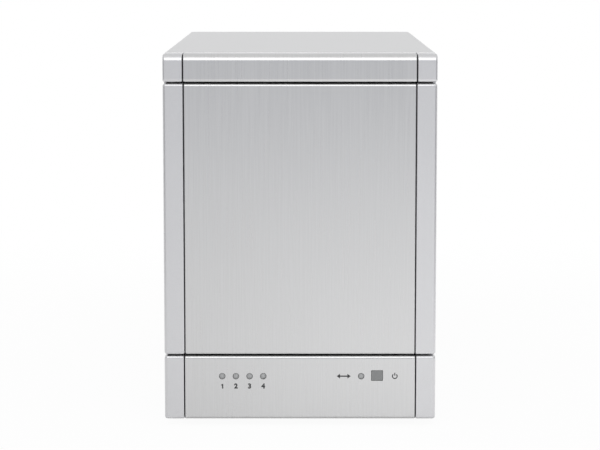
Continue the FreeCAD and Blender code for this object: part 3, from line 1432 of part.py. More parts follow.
def switch_rocker():
    """A rocker with a dished face, resting tilted to its off side."""
    x, d = rocker_axis()
    z = MAINS_LEVEL
    half = ROCKER_W / 2
    front = d + ROCKER_T / 2
    corners = [
        (x - half, front, ROCKER_FIT),
        (x, front - ROCKER_DISH, 0),
        (x + half, front, ROCKER_FIT),
        (x + half - ROCKER_TAPER, d, 0),
        (x, d - ROCKER_T / 2, 0),
        (x - half + ROCKER_TAPER, d, 0),
    ]
    body = prism(corners, in_plan(z - ROCKER_H / 2), UP * ROCKER_H)
    reach = ROCKER_H / 2 + ROCKER_PIN_L
    body = joined(body, rod(x, d, z - reach, 2 * reach, ROCKER_PIN_R, UP))
    body.rotate(spot(x, d, z), UP, -ROCKER_TILT)
    return body


def body_pieces():
    inlet, pins, rear_screws = inlet_pieces()
    for x, z in cover_screw_places():
        start = spot(x, BODY_D, z)
        rear_screws.append(screw(start, BACK, COVER_SCREW_R, COVER_SCREW_L, COVER_HEAD_R, COVER_HEAD_T))
    return {
        "front_bezel": front_bezel(),
        "outer_cover": outer_cover(),
        "base_pan": base_pan(),
        "feet": Part.makeCompound([foot(x, d) for x, d in foot_places()]),
        "foot_screws": Part.makeCompound([foot_screw(x, d) for x, d in foot_places()]),
        "drive_cage": drive_cage(),
        "guide_rails": guide_rails(),
        "rear_panel": rear_panel(),
        "fan_frame": fan_frame(),
        "fan_rotor": fan_rotor(),
        "fan_guard": fan_guard(),
        "fan_screws": Part.makeCompound([fan_screw(x, z) for x, z in fan_corners()]),
        "power_supply": power_supply(),
        "mains_inlet": inlet,
        "inlet_pins": pins,
        "switch_housing": switch_housing(),
        "switch_rocker": switch_rocker(),
        "rear_screws": Part.makeCompound(rear_screws),
    }


def all_pieces():
    pieces = {}
    pieces.update(band_pieces())
    pieces.update(door_pieces())
    pieces.update(control_pieces())
    pieces.update(bay_pieces())
    pieces.update(backplane_pieces())
    pieces.update(card_pieces())
    pieces.update(body_pieces())
    return pieces


def main():
    os.makedirs("parts", exist_ok=True)
    for name, shape in all_pieces().items():
        shape.exportStep("parts/%s.step" % name)


if __name__ == "__main__":
    main()
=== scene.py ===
import math

import bmesh
import bpy
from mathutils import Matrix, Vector


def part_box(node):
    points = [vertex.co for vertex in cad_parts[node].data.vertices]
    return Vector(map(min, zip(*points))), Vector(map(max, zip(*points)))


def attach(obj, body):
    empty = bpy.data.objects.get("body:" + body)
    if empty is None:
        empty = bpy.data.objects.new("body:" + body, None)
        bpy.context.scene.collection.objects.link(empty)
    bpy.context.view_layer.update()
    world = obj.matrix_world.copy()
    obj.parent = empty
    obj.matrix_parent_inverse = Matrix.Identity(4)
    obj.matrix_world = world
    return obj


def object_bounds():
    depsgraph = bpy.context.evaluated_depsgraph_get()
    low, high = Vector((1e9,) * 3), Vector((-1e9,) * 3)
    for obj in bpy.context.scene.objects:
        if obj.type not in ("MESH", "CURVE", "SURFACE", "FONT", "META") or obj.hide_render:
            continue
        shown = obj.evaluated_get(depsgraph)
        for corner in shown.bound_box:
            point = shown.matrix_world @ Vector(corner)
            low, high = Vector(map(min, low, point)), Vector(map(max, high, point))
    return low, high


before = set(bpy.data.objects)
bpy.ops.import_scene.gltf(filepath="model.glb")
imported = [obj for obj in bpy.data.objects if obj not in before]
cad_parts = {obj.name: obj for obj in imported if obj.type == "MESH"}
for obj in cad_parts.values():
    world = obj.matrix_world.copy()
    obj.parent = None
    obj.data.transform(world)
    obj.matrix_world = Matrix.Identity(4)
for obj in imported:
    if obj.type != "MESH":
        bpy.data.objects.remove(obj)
bpy.context.view_layer.update()
cad_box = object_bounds()
scene = bpy.context.scene

# Floor pan, drive cage and power supply case.
# Folded sheet steel, zinc plated before it is cut, so the plating's crystals show as faint patches.
# The pan carries everything else: the cage is riveted to it, and the supply is screwed down behind.


class Wire:
    """One output of a shader node. Sums and products of wires add Math nodes."""

    def __init__(self, tree, socket=None):
        self.tree = tree
        self.socket = socket

    def node(self, kind, settings, inputs, output=0):
        """Adds a node, sets it up, fills its inputs with numbers or wires and returns one output."""
        made = self.tree.nodes.new("ShaderNode" + kind)
        for name, value in settings.items():
            setattr(made, name, value)
        for key, value in inputs.items():
            if isinstance(value, Wire):
                self.tree.links.new(value.socket, made.inputs[key])
            else:
                made.inputs[key].default_value = value
        return Wire(self.tree, made.outputs[output]) if made.outputs else None

    def maths(self, operation, first, second=0.0):
        return self.node("Math", {"operation": operation}, {0: first, 1: second})

    def __add__(self, other):
        return self.maths("ADD", self, other)

    def __radd__(self, other):
        return self.maths("ADD", other, self)

    def __sub__(self, other):
        return self.maths("SUBTRACT", self, other)

    def __rsub__(self, other):
        return self.maths("SUBTRACT", other, self)

    def __mul__(self, other):
        return self.maths("MULTIPLY", self, other)

    def __rmul__(self, other):
        return self.maths("MULTIPLY", other, self)

    def __abs__(self):
        return self.maths("ABSOLUTE", self)

    def step(self, start, end, low=0.0, high=1.0):
        """Goes smoothly from low to high as this value goes from start to end."""
        settings = {"interpolation_type": "SMOOTHSTEP"}
        return self.node("MapRange", settings, {0: self, 1: start, 2: end, 3: low, 4: high})

    def parts(self):
        """This vector's x, y and z."""
        return [self.node("SeparateXYZ", {}, {0: self}, i) for i in range(3)]

    def scaled(self, x, y, z):
        """This vector, stretched along each axis."""
        return self.node("VectorMath", {"operation": "MULTIPLY"}, {0: self, 1: (x, y, z)})

    def mix(self, first, second):
        """Two colours mixed by this value. A Mix node's colours are its inputs 6 and 7 and output 2."""
        return self.node("Mix", {"data_type": "RGBA"}, {0: self, 6: first, 7: second}, 2)

    def noise(self, size, detail=2.0):
        """Cloudy noise at this place, with patches of about one size in metres."""
        return self.node("TexNoise", {}, {"Vector": self, "Scale": 1 / size, "Detail": detail})

    def cells(self, size):
        """Cells of about one size in metres, each with a random value of its own."""
        colour = self.node("TexVoronoi", {}, {"Vector": self, "Scale": 1 / size}, "Color")
        return self.node("SeparateColor", {}, {0: colour})

    def edges(self, width):
        """1 along the edges of the shape, within a width in metres, and 0 on its faces."""
        flat_cosine = 0.98
        edge_cosine = 0.80
        softened = self.node("Bevel", {"samples": 4}, {"Radius": width})
        facing = self.node("NewGeometry", {}, {}, "Normal")
        turn = self.node("VectorMath", {"operation": "DOT_PRODUCT"}, {0: softened, 1: facing}, "Value")
        return turn.step(flat_cosine, edge_cosine)

    def bump(self, depth):
        """Raises the surface by this value times a depth in metres."""
        return self.node("Bump", {}, {"Height": self * depth, "Distance": 1.0, "Strength": 1.0})


def tinted(colour, share):
    """A colour made lighter or darker by a share of itself."""
    return (*[c * (1 + share) for c in colour], 1.0)


def new_finish(name):
    """An empty material, and the place on the surface in metres."""
    material = bpy.data.materials.new(name)
    material.use_nodes = True
    material.node_tree.nodes.clear()
    return material, Wire(material.node_tree).node("TexCoord", {}, {}, "Object")


def surface(place, **sockets):
    """The material's shader, with the sockets named as in Base_Color."""
    named = {key.replace("_", " "): value for key, value in sockets.items()}
    place.node("OutputMaterial", {}, {"Surface": place.node("BsdfPrincipled", {}, named)})


def paint(material, *names):
    """Gives whole CAD nodes a finish."""
    for name in names:
        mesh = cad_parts[name].data
        mesh.materials.clear()
        mesh.materials.append(material)


def zinc_plate():
    material, place = new_finish("zinc_plated_sheet")
    grey = (0.50, 0.51, 0.52)
    crystal = place.cells(0.009)
    rolled = place.scaled(1, 0.05, 1).noise(0.0006)
    cut = place.edges(0.0003)
    base = (crystal * 0.6 + rolled * 0.4).mix(tinted(grey, -0.13), tinted(grey, 0.10))
    surface(
        place,
        Base_Color=(cut * 0.6).mix(base, tinted(grey, -0.35)),
        Metallic=0.95,
        Roughness=0.36 + crystal * 0.10 + rolled * 0.06,
        Normal=(rolled + crystal * 0.3).bump(0.00001),
    )
    return material


zinc = zinc_plate()
paint(zinc, "base_pan", "drive_cage", "power_supply")

# Feet: four round rubber pads, each held up to the pan by one screw from below.
# Moulded black rubber with a dusty bloom; the screws are zinc plated steel.


def rubber_pad():
    material, place = new_finish("foot_rubber")
    black = (0.018, 0.018, 0.019)
    bloom = place.noise(0.004, 4.0)
    pores = place.noise(0.0004)
    rubbed = place.edges(0.0006)
    base = bloom.step(0.35, 0.75).mix(tinted(black, -0.2), tinted(black, 1.3))
    surface(
        place,
        Base_Color=(rubbed * 0.7).mix(base, tinted(black, 2.2)),
        Roughness=0.72 + bloom * 0.16,
        Normal=pores.bump(0.00004),
    )
    return material


def screw_metal():
    material, place = new_finish("zinc_plated_screw")
    steel = (0.46, 0.46, 0.45)
    wear = place.noise(0.0009, 4.0)
    bright = place.edges(0.00025)
    base = wear.mix(tinted(steel, -0.22), tinted(steel, 0.12))
    surface(
        place,
        Base_Color=(bright * 0.7).mix(base, tinted(steel, 0.4)),
        Metallic=1.0,
        Roughness=0.28 + wear * 0.20 - bright * 0.10,
        Normal=wear.bump(0.00001),
    )
    return material


screw_steel = screw_metal()
paint(rubber_pad(), "feet")
paint(screw_steel, "foot_screws")

# Guide rails for the trays, and the backplane and controller card behind the drives.
# Glass fibre boards with green lacquer over copper tracks; the rails and plugs are black nylon.
# The backplane is screwed to the tabs of the cage, and the card plugs into it.


def circuit_lacquer():
    material, place = new_finish("board_lacquer")
    green = (0.012, 0.085, 0.035)
    bare_fibre = (0.16, 0.15, 0.07, 1.0)
    track_unit = 0.012
    tracks = place.node("TexBrick", {"offset": 0.37, "squash": 1.0}, {
        "Vector": place,
        "Scale": 1 / track_unit,
        "Mortar Size": 0.035,
        "Brick Width": 0.7,
        "Row Height": 0.16,
    }, "Fac")
    weave = place.noise(0.0005)
    routed = place.edges(0.0003)
    base = tracks.mix(tinted(green, -0.1), tinted(green, 0.9))
    surface(
        place,
        Base_Color=routed.mix(base, bare_fibre),
        Roughness=0.34 + weave * 0.12,
        Normal=(tracks + weave * 0.3).bump(0.00003),
    )
    return material


def moulded_plastic(name, colour):
    """Plastic from a spark-eroded mould, paler and a little shinier along its edges: partly wear where
    they are handled, and partly a painted highlight where their roundings would catch the light.
    """
    material, place = new_finish(name)
    sparks = place.noise(0.00035)
    clouds = place.noise(0.02, 4.0)
    edge_band = place.edges(0.0006)
    base = clouds.mix(tinted(colour, -0.2), tinted(colour, 0.35))
    surface(
        place,
        # The paler band along the edges is a painted highlight on the edges as well as handling wear.
        Base_Color=(edge_band * 0.8).mix(base, tinted(colour, 2.6)),
        Roughness=0.46 + clouds * 0.12 + sparks * 0.08 - edge_band * 0.14,
        Normal=sparks.bump(0.00006),
    )
    return material


boards = circuit_lacquer()
black_moulding = moulded_plastic("black_moulding", (0.024, 0.024, 0.025))
paint(boards, "backplane_board", "controller_board")
paint(black_moulding, "guide_rails", "backplane_connectors")
paint(screw_steel, "backplane_screws")

# Two data sockets on the controller card, which look out through the rear panel.
# One has a zinc shell round a pale nylon tongue, and the other is black plastic, tongue and all.
# Gold-flashed brass springs are pressed in along the faces of the tongues.


def pale_nylon():
    material, place = new_finish("socket_tongue")
    white = (0.60, 0.59, 0.56)
    flow = place.scaled(1, 0.2, 1).noise(0.0015, 3.0)
    edge_band = place.edges(0.0002)
    base = flow.mix(tinted(white, -0.08), tinted(white, 0.08))
    surface(
        place,
        Base_Color=(edge_band * 0.5).mix(base, tinted(white, -0.2)),
        Roughness=0.42 + flow * 0.12,
        Normal=flow.bump(0.00001),
    )
    return material


def plated_brass(name, plating, worn):
    """Brass contacts under a thin plating, worn through along their edges."""
    material, place = new_finish(name)
    drawn = place.scaled(1, 0.06, 1).noise(0.0003)
    rubbed = place.edges(0.0003)
    base = drawn.mix(tinted(plating, -0.15), tinted(plating, 0.12))
    surface(
        place,
        Base_Color=(rubbed * 0.7).mix(base, (*worn, 1.0)),
        Metallic=1.0,
        Roughness=0.24 + drawn * 0.16,
        Normal=drawn.bump(0.00001),
    )
    return material


def paint_inside(material, name, low, high):
    """Gives another finish to the faces of a CAD node that lie in a box."""
    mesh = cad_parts[name].data
    mesh.materials.append(material)
    for face in mesh.polygons:
        if all(a < middle < b for a, middle, b in zip(low, face.center, high)):
            face.material_index = len(mesh.materials) - 1


def loft(shape, rings):
    """Adds a closed solid through rings of points."""
    rows = [[shape.verts.new(point) for point in ring] for ring in rings]
    shape.faces.new(rows[0])
    shape.faces.new(rows[-1])
    for row, following in zip(rows, rows[1:]):
        for i in range(len(row)):
            shape.faces.new((row[i - 1], row[i], following[i], following[i - 1]))


def made_mesh(name, shape):
    bmesh.ops.recalc_face_normals(shape, faces=shape.faces[:])
    mesh = bpy.data.meshes.new(name)
    shape.to_mesh(mesh)
    shape.free()
    return mesh


def spring_contacts(name, feet, across, out, width):
    """Flat springs along a tongue, each from its foot to a thin nose near the socket's mouth."""
    thickness = 0.00013
    straight = 0.0064
    reach = 0.0070
    nose_width = 0.6
    nose_thickness = 0.2
    sections = ((0.0, 1.0, 1.0), (straight, 1.0, 1.0), (reach, nose_width, nose_thickness))
    shape = bmesh.new()
    for foot in feet:
        rings = []
        for run, wide, thick in sections:
            start = foot + Vector((0.0, run, 0.0)) - across * (width * wide / 2)
            end = start + across * (width * wide)
            rise = out * (thickness * thick)
            rings.append((start, end, end + rise, start + rise))
        loft(shape, rings)
    return made_mesh(name, shape)


def add_piece(data, body, material, place=(0.0, 0.0, 0.0), turn=(0.0, 0.0, 0.0)):
    """Puts a mesh or a text in its place on a body, with a finish."""
    piece = bpy.data.objects.new(data.name, data)
    piece.location = place
    piece.rotation_euler = turn
    scene.collection.objects.link(piece)
    data.materials.append(material)
    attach(piece, body)


paint(zinc, "usb_socket")
paint(black_moulding, "esata_socket")
gold_flash = plated_brass("gold_flash", plating=(0.76, 0.58, 0.27), worn=(0.66, 0.62, 0.52))
upward = Vector((0.0, 0.0, 1.0))
sideways = Vector((1.0, 0.0, 0.0))
socket_depth = 0.0085

usb_low, usb_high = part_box("usb_socket")
usb_middle = (usb_low + usb_high) / 2
usb_foot = Vector((usb_middle.x, usb_high.y - socket_depth, usb_middle.z))
tongue_half_width = 0.0028
tongue_half_height = 0.0016
margin = 0.0001
tongue_reach = Vector((tongue_half_width + margin, 0.0, tongue_half_height + margin))
tongue_end = Vector((0.0, socket_depth, 0.0))
tongue_low = usb_foot - tongue_reach
tongue_high = usb_foot + tongue_reach + tongue_end
paint_inside(pale_nylon(), "usb_socket", tongue_low, tongue_high)

contact_from_middle = 0.00125
contact_width = 0.0010
for name, out in (("usb_contacts_upper", upward), ("usb_contacts_lower", -upward)):
    tongue_face = usb_foot + out * tongue_half_height
    feet = [tongue_face + sideways * x for x in (-contact_from_middle, contact_from_middle)]
    contacts = spring_contacts(name, feet, sideways, out, contact_width)
    add_piece(contacts, "case", gold_flash)

esata_low, esata_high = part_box("esata_socket")
esata_middle = (esata_low + esata_high) / 2
thin_tongue_half = 0.0006
fine_contact_pitch = 0.00127
fine_contact_width = 0.0006
esata_foot = Vector((esata_middle.x - thin_tongue_half, esata_high.y - socket_depth, esata_middle.z))
feet = [esata_foot + upward * (fine_contact_pitch * i) for i in range(-3, 4)]
contacts = spring_contacts("esata_contacts", feet, upward, -sideways, fine_contact_width)
add_piece(contacts, "case", gold_flash)

# Rear panel with the mains inlet and the rocker switch in its lower row.
# Punched sheet under grey paint with a fine texture; the inlet and the switch are black plastic.
# Two screws hold the inlet, the switch snaps in, and four more screws hold the cover's flange.


def satin_paint():
    material, place = new_finish("rear_satin_paint")
    grey = (0.42, 0.42, 0.43)
    peel = place.noise(0.0008, 3.0)
    dust = place.noise(0.03, 5.0)
    rubbed = place.edges(0.0003)
    base = (dust * 0.5 + peel * 0.5).mix(tinted(grey, -0.12), tinted(grey, 0.12))
    surface(
        place,
        Base_Color=(rubbed * 0.6).mix(base, tinted(grey, 0.5)),
        Metallic=0.35 + rubbed * 0.5,
        Roughness=0.40 + dust * 0.12 - rubbed * 0.08,
        Normal=peel.bump(0.00015),
    )
    return material


inlet_contact = plated_brass("inlet_contact", plating=(0.62, 0.56, 0.42), worn=(0.60, 0.43, 0.18))
paint(satin_paint(), "rear_panel")
paint(black_moulding, "mains_inlet", "switch_housing", "switch_rocker")
paint(inlet_contact, "inlet_pins")
paint(screw_steel, "rear_screws")

# Marks on the rim of the switch: a stroke at the end for on, and a ring at the end for off.
# Pale ink, pad printed on the black plastic.

ink_thickness = 0.00004


def printing_ink(name, colour):
    material, place = new_finish(name)
    grain = place.noise(0.0002, 3.0)
    surface(
        place,
        Base_Color=grain.mix(tinted(colour, -0.3), tinted(colour, 0.3)),
        Roughness=0.5 + grain * 0.2,
        Normal=grain.bump(0.000004),
    )
    return material


def printed_text(name, words, height):
    """Flat lettering with a little thickness, by the height of its capitals in metres."""
    capital_share = 0.70
    bolder_share = 0.075
    letters = bpy.data.curves.new(name, "FONT")
    letters.body = words
    letters.size = height / capital_share
    letters.align_x = "CENTER"
    letters.align_y = "CENTER"
    letters.offset = height * bolder_share
    letters.extrude = ink_thickness / 2
    return letters


pale_ink = printing_ink("pale_ink", (0.55, 0.55, 0.55))
facing_rear = (math.radians(90), 0.0, math.radians(180))
switch_low, switch_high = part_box("switch_housing")
switch_level = (switch_low.z + switch_high.z) / 2
rim_middle = 0.0013
mark_height = 0.0018
marks = (
    ("on_mark", "I", switch_low.x + rim_middle),
    ("off_mark", "O", switch_high.x - rim_middle),
)
for name, letter, x in marks:
    mark = printed_text(name, letter, mark_height)
    where = (x, switch_high.y, switch_level)
    add_piece(mark, "case", pale_ink, where, facing_rear)

# Fan with its wire guard and screws.
# The frame and the seven-bladed rotor are black glass-filled plastic; the guard is bright plated wire.
# Four self-tapping screws go through the guard's eyes and the panel into the frame.


def plated_wire():
    material, place = new_finish("bright_wire")
    chrome = (0.66, 0.66, 0.67)
    pits = place.noise(0.0012, 4.0)
    welds = place.edges(0.0003)
    base = pits.mix(tinted(chrome, -0.14), tinted(chrome, 0.08))
    surface(
        place,
        Base_Color=(welds * 0.6).mix(base, tinted(chrome, -0.45)),
        Metallic=1.0,
        Roughness=0.14 + pits * 0.12,
        Normal=pits.bump(0.00001),
    )
    return material


paint(black_moulding, "fan_frame", "fan_rotor")
paint(plated_wire(), "fan_guard")
paint(screw_steel, "fan_screws")

# Hard drives in their trays.
# Each drive is an aluminium casting with a pressed lid; the tray is charcoal plastic, its lever black.
# Four screws hold the drive from below, and the grey button beside the lever releases it.


def cast_metal():
    material, place = new_finish("drive_casting")
    grey = (0.44, 0.44, 0.45)
    skin = place.noise(0.0011, 4.0)
    machined = place.edges(0.0005)
    base = skin.mix(tinted(grey, -0.12), tinted(grey, 0.1))
    surface(
        place,
        Base_Color=(machined * 0.7).mix(base, tinted(grey, 0.45)),
        Metallic=1.0,
        Roughness=0.42 + skin * 0.14,
        Normal=skin.bump(0.00005),
    )
    return material


def grey_plastic():
    material, place = new_finish("grey_moulding")
    grey = (0.285, 0.29, 0.29)
    sparks = place.noise(0.0003)
    clouds = place.noise(0.006, 3.0)
    edge_band = place.edges(0.00025)
    base = clouds.mix(tinted(grey, -0.05), tinted(grey, 0.05))
    surface(
        place,
        Base_Color=(edge_band * 0.5).mix(base, tinted(grey, 0.25)),
        Roughness=0.48 + sparks * 0.14 - edge_band * 0.1,
        Normal=sparks.bump(0.00002),
    )
    return material


trays = range(1, 5)
casting = cast_metal()
charcoal_moulding = moulded_plastic("charcoal_moulding", (0.052, 0.053, 0.055))
grey_moulding = grey_plastic()
for number in trays:
    paint(casting, "hard_drive_%d" % number)
    paint(charcoal_moulding, "tray_frame_%d" % number)
    paint(black_moulding, "tray_lever_%d" % number)
    paint(grey_moulding, "tray_button_%d" % number)
paint(screw_steel, "drive_screws", "lever_pins")

# Grips in the finger dishes of the levers.
# Four half-round ribs to a dish, moulded in one with the lever from the same black plastic.


def arc(radius, start, end):
    """Points along an arc, by angles in degrees."""
    count = 28
    angles = [math.radians(start + (end - start) * i / count) for i in range(count + 1)]
    return [(radius * math.cos(angle), radius * math.sin(angle)) for angle in angles]


def grip_ribs(name):
    """Upright ribs with tapered ends, side by side on the round floor of a dish."""
    dish_radius = 0.0080
    dish_depth = 0.0016
    rib_count = 4
    rib_pitch = 0.0016
    rib_radius = 0.0004
    sunk_angle = 10
    full = 0.0042
    end = 0.0048
    end_share = 0.3
    sections = ((-end, end_share), (-full, 1.0), (full, 1.0), (end, end_share))
    shape = bmesh.new()
    for i in range(rib_count):
        x = rib_pitch * (i - (rib_count - 1) / 2)
        level = dish_depth - dish_radius + math.sqrt(dish_radius ** 2 - x ** 2)
        rings = []
        for z, share in sections:
            round_side = arc(rib_radius * share, -sunk_angle, 180 + sunk_angle)
            rings.append([(x + u, level - v, z) for u, v in round_side])
        loft(shape, rings)
    return made_mesh(name, shape)


dish_from_end = 0.0090
for number in trays:
    low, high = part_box("tray_lever_%d" % number)
    dish = (high.x - dish_from_end, low.y, (low.z + high.z) / 2)
    ribs = grip_ribs("lever_grip_%d" % number)
    add_piece(ribs, "case", black_moulding, dish)

# Numbers on the release buttons, by which the bays are told apart.
# Dark ink, pad printed on the face of the grey plastic.


def printed_sign(name, outlines):
    """Flat shapes with a little thickness, from outlines of (across, up) in metres."""
    half = ink_thickness / 2
    shape = bmesh.new()
    for points in outlines:
        loft(shape, [[(u, v, level) for u, v in points] for level in (-half, half)])
    return made_mesh(name, shape)


def printed_number(name, number, height):
    """A plain numeral; the one is drawn with a flag, which the plain lettering lacks."""
    if number > 1:
        return printed_text(name, str(number), height)
    stem = ((-0.06, -0.5), (0.20, -0.5), (0.20, 0.5), (0.02, 0.5))
    flag = ((-0.27, 0.33), (-0.27, 0.12), (-0.06, 0.24))
    return printed_sign(name, [[(u * height, v * height) for u, v in stem + flag]])


dark_ink = printing_ink("dark_ink", (0.042, 0.043, 0.045))
facing_front = (math.radians(90), 0.0, 0.0)
bay_number_height = 0.0034
for number in trays:
    low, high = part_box("tray_button_%d" % number)
    digit = printed_number("tray_number_%d" % number, number, bay_number_height)
    middle = ((low.x + high.x) / 2, low.y, (low.z + high.z) / 2)
    add_piece(digit, "release_%d" % number, dark_ink, middle, facing_front)

# Inner bezel with the panel board, the lamps and the power button.
# A black moulding that snaps onto the front of the case and carries the bands.
# Clear grey 3 mm lamps stand on the board behind it, beside the switch that the button presses.


def lamp_lens(centres, level):
    """Smoke grey lenses with a paler middle: partly the bright cup inside each lamp showing through,
    and partly a painted highlight of a domed lens, set a little above centre as if lit from above.
    """
    material, place = new_finish("lamp_lens")
    smoke = (0.37, 0.375, 0.375)
    pale_spot_middle = 0.0003
    pale_spot_edge = 0.0013
    x, _, z = place.parts()
    aside = abs(x - centres[0])
    for centre in centres[1:]:
        aside = place.maths("MINIMUM", aside, abs(x - centre))
    above = z - level
    from_centre = place.maths("SQRT", aside * aside + above * above)
    cup_and_highlight = from_centre.step(pale_spot_middle, pale_spot_edge, 1.0, 0.0)
    haze = place.noise(0.0008)
    surface(
        place,
        # The paler spot is a painted highlight as well as the cup inside, raised a little above each
        # lamp's middle.
        Base_Color=(cup_and_highlight * 0.8 + haze * 0.2).mix(tinted(smoke, -0.12), tinted(smoke, 0.32)),
        Roughness=0.16 + haze * 0.14,
        IOR=1.55,
        Subsurface_Weight=0.15,
        Subsurface_Radius=(0.001, 0.001, 0.001),
        Normal=haze.bump(0.00001),
    )
    return material


lamp_rim = 0.0019
lamp_pitch = 0.00666
# The painted highlight on each lens sits this far above the lamp's middle, as if lit from above.
painted_highlight_rise = 0.0002
lamp_low, lamp_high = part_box("indicator_leds")
lamp_level = (lamp_low.z + lamp_high.z) / 2
first_lamp = lamp_low.x + lamp_rim
link_lamp = lamp_high.x - lamp_rim
bay_lamps = [first_lamp + lamp_pitch * i for i in range(len(trays))]
paint(black_moulding, "front_bezel", "power_switch")
paint(boards, "panel_board")
paint(lamp_lens(bay_lamps + [link_lamp], lamp_level + painted_highlight_rise), "indicator_leds")
paint(grey_moulding, "power_button")

# Outer cover: one sheet of aluminium folded over the top and both sides.
# Brushed across its width before folding, so the lines run over the top and down the sides.
# It is clear anodised, slides on from behind, and is held by four screws in its rear flange.


def scratches(sheet, length, width):
    """Streaks along a sheet, of about one length and width in metres."""
    return sheet.scaled(1 / length, 1 / width, 1).noise(1.0, 3.0)


def brushed_sheet(name, colour, rough, stretch, flat):
    """Anodised aluminium with long fine scratches; flat gives the place along and across them."""
    material, place = new_finish(name)
    along, across = flat(*place.parts())
    sheet = place.node("CombineXYZ", {}, {0: along, 1: across})
    fine = scratches(sheet, 0.025, 0.00025)
    broad = scratches(sheet, 0.060, 0.0012)
    lines = fine.step(0.3, 0.7) * 0.5 + broad.step(0.3, 0.7) * 0.5
    clouds = place.noise(0.04, 3.0)
    polished = place.edges(0.0005)
    base = (lines * 0.8 + clouds * 0.2).mix(tinted(colour, -0.06), tinted(colour, 0.06))
    surface(
        place,
        Base_Color=(polished * 0.5).mix(base, tinted(colour, 0.14)),
        Metallic=1.0,
        Roughness=rough - 0.06 + lines * 0.12 - polished * 0.05,
        Anisotropic=stretch,
        Normal=(fine * 0.6 + broad * 0.4).bump(0.000006),
    )
    return material


def over_the_top(x, y, z):
    return abs(x) - z, y


silver = (0.74, 0.74, 0.742)
brushed_cover = brushed_sheet("cover_brushed", silver, rough=0.38, stretch=0.0, flat=over_the_top)
paint(brushed_cover, "outer_cover")

# Front bands: the top bar, the control panel and the four corner pieces at their ends.
# The plates are brushed aluminium; the corner pieces are plastic under smooth silver paint.
# Both clip onto the bezel, with a dark groove left between them.


def silver_paint():
    material, place = new_finish("silver_paint")
    colour = (0.765, 0.765, 0.777)
    flake = place.cells(0.00012)
    clouds = place.noise(0.03, 3.0)
    edge_band = place.edges(0.0004)
    base = (flake * 0.7 + clouds * 0.3).mix(tinted(colour, -0.05), tinted(colour, 0.05))
    surface(
        place,
        Base_Color=(edge_band * 0.4).mix(base, tinted(colour, 0.12)),
        Metallic=0.9,
        Roughness=0.30 + flake * 0.08,
        Coat_Weight=0.1,
        Normal=flake.bump(0.000002),
    )
    return material


def up_the_front(x, y, z):
    return y + z, x


brushed_plate = brushed_sheet("plate_brushed", silver, rough=0.32, stretch=0.5, flat=up_the_front)
painted_silver = silver_paint()
paint(brushed_plate, "top_bar", "control_panel")
paint(painted_silver, "top_corner_left", "top_corner_right")
paint(painted_silver, "bottom_corner_left", "bottom_corner_right")

# Printed signs on the control panel: plain numbers under the lamps, and signs for the link and power.
# Dark grey ink, screen printed onto the plate in one pass, so it stands a little proud.


def two_way_arrow(half, head, wide, line):
    """A line with a head at each end, given half of each of its sizes but the head's length."""
    root = half - head
    right = [(root, line), (root, wide), (half, 0.0), (root, -wide), (root, -line)]
    return [right + [(-u, -v) for u, v in right]]


def standby_sign(radius, line):
    """A ring that is open at the top, and an upright bar in the opening."""
    half_gap = 38
    start, end = 90 + half_gap, 450 - half_gap
    ring = arc(radius, start, end) + arc(radius - line, end, start)
    side, low, high = line / 2, radius * 0.2, radius * 1.2
    bar = [(-side, low), (side, low), (side, high), (-side, high)]
    return [ring, bar]


panel_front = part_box("control_panel")[0].y
lamp_number_height = 0.0023
lamp_number_drop = 0.0050
for number, x in zip(trays, bay_lamps):
    digit = printed_number("lamp_number_%d" % number, number, lamp_number_height)
    where = (x, panel_front, lamp_level - lamp_number_drop)
    add_piece(digit, "case", dark_ink, where, facing_front)

link_sign_x = 0.0213
power_sign_x = 0.0462
arrow = two_way_arrow(half=0.0034, head=0.0016, wide=0.0012, line=0.00032)
standby = standby_sign(radius=0.00140, line=0.00050)
for name, outlines, x in (("link_sign", arrow, link_sign_x), ("power_sign", standby, power_sign_x)):
    sign = printed_sign(name, outlines)
    where = (x, panel_front, lamp_level)
    add_piece(sign, "case", dark_ink, where, facing_front)

# Door: a brushed plate and two painted pillars on a ribbed black frame.
# It swings on two steel pins that turn in black bushes at its left side.
# Two nickel plated magnets at its right side meet steel plates on the case and hold it shut.


def nickel_plate():
    material, place = new_finish("magnet_nickel")
    nickel = (0.42, 0.41, 0.40)
    scuffs = place.noise(0.0015, 4.0)
    chipped = place.edges(0.0004)
    base = scuffs.mix(tinted(nickel, -0.15), tinted(nickel, 0.15))
    surface(
        place,
        Base_Color=(chipped * 0.6).mix(base, tinted(nickel, -0.4)),
        Metallic=1.0,
        Roughness=0.22 + scuffs * 0.2,
        Normal=scuffs.bump(0.00001),
    )
    return material


paint(brushed_plate, "door_panel")
paint(painted_silver, "door_pillar_left", "door_pillar_right")
paint(black_moulding, "door_inner_frame", "hinge_bushes")
paint(nickel_plate(), "door_magnets")
paint(screw_steel, "door_strikes", "hinge_pins")

# Studio: a white table, white behind it, and one large softbox in front and above.
# The table keeps the object's shadow and looks white to the camera; in reflections it is white with
# painted shade, dimmer close to the object, to the left and behind it.

scene.view_settings.view_transform = "Standard"


def add_lamp(name, place, aim, width, height, radiance):
    """A rectangular softbox that shines at a point, as bright as its radiance from every side."""
    light = bpy.data.lights.new(name, "AREA")
    light.shape = "RECTANGLE"
    light.size = width
    light.size_y = height
    light.energy = radiance * math.pi * width * height
    lamp = bpy.data.objects.new(name, light)
    lamp.location = place
    lamp.rotation_euler = (Vector(aim) - Vector(place)).to_track_quat("-Z", "Y").to_euler()
    lamp.visible_camera = False
    scene.collection.objects.link(lamp)


def shown_share(place):
    """Camera rays, and mirrored or refracted rays, each 1 where the surface is seen by them."""
    seen = place.node("LightPath", {}, {}, "Is Camera Ray")
    mirrored = place.node("LightPath", {}, {}, "Is Glossy Ray")
    refracted = place.node("LightPath", {}, {}, "Is Transmission Ray")
    return seen, mirrored + refracted


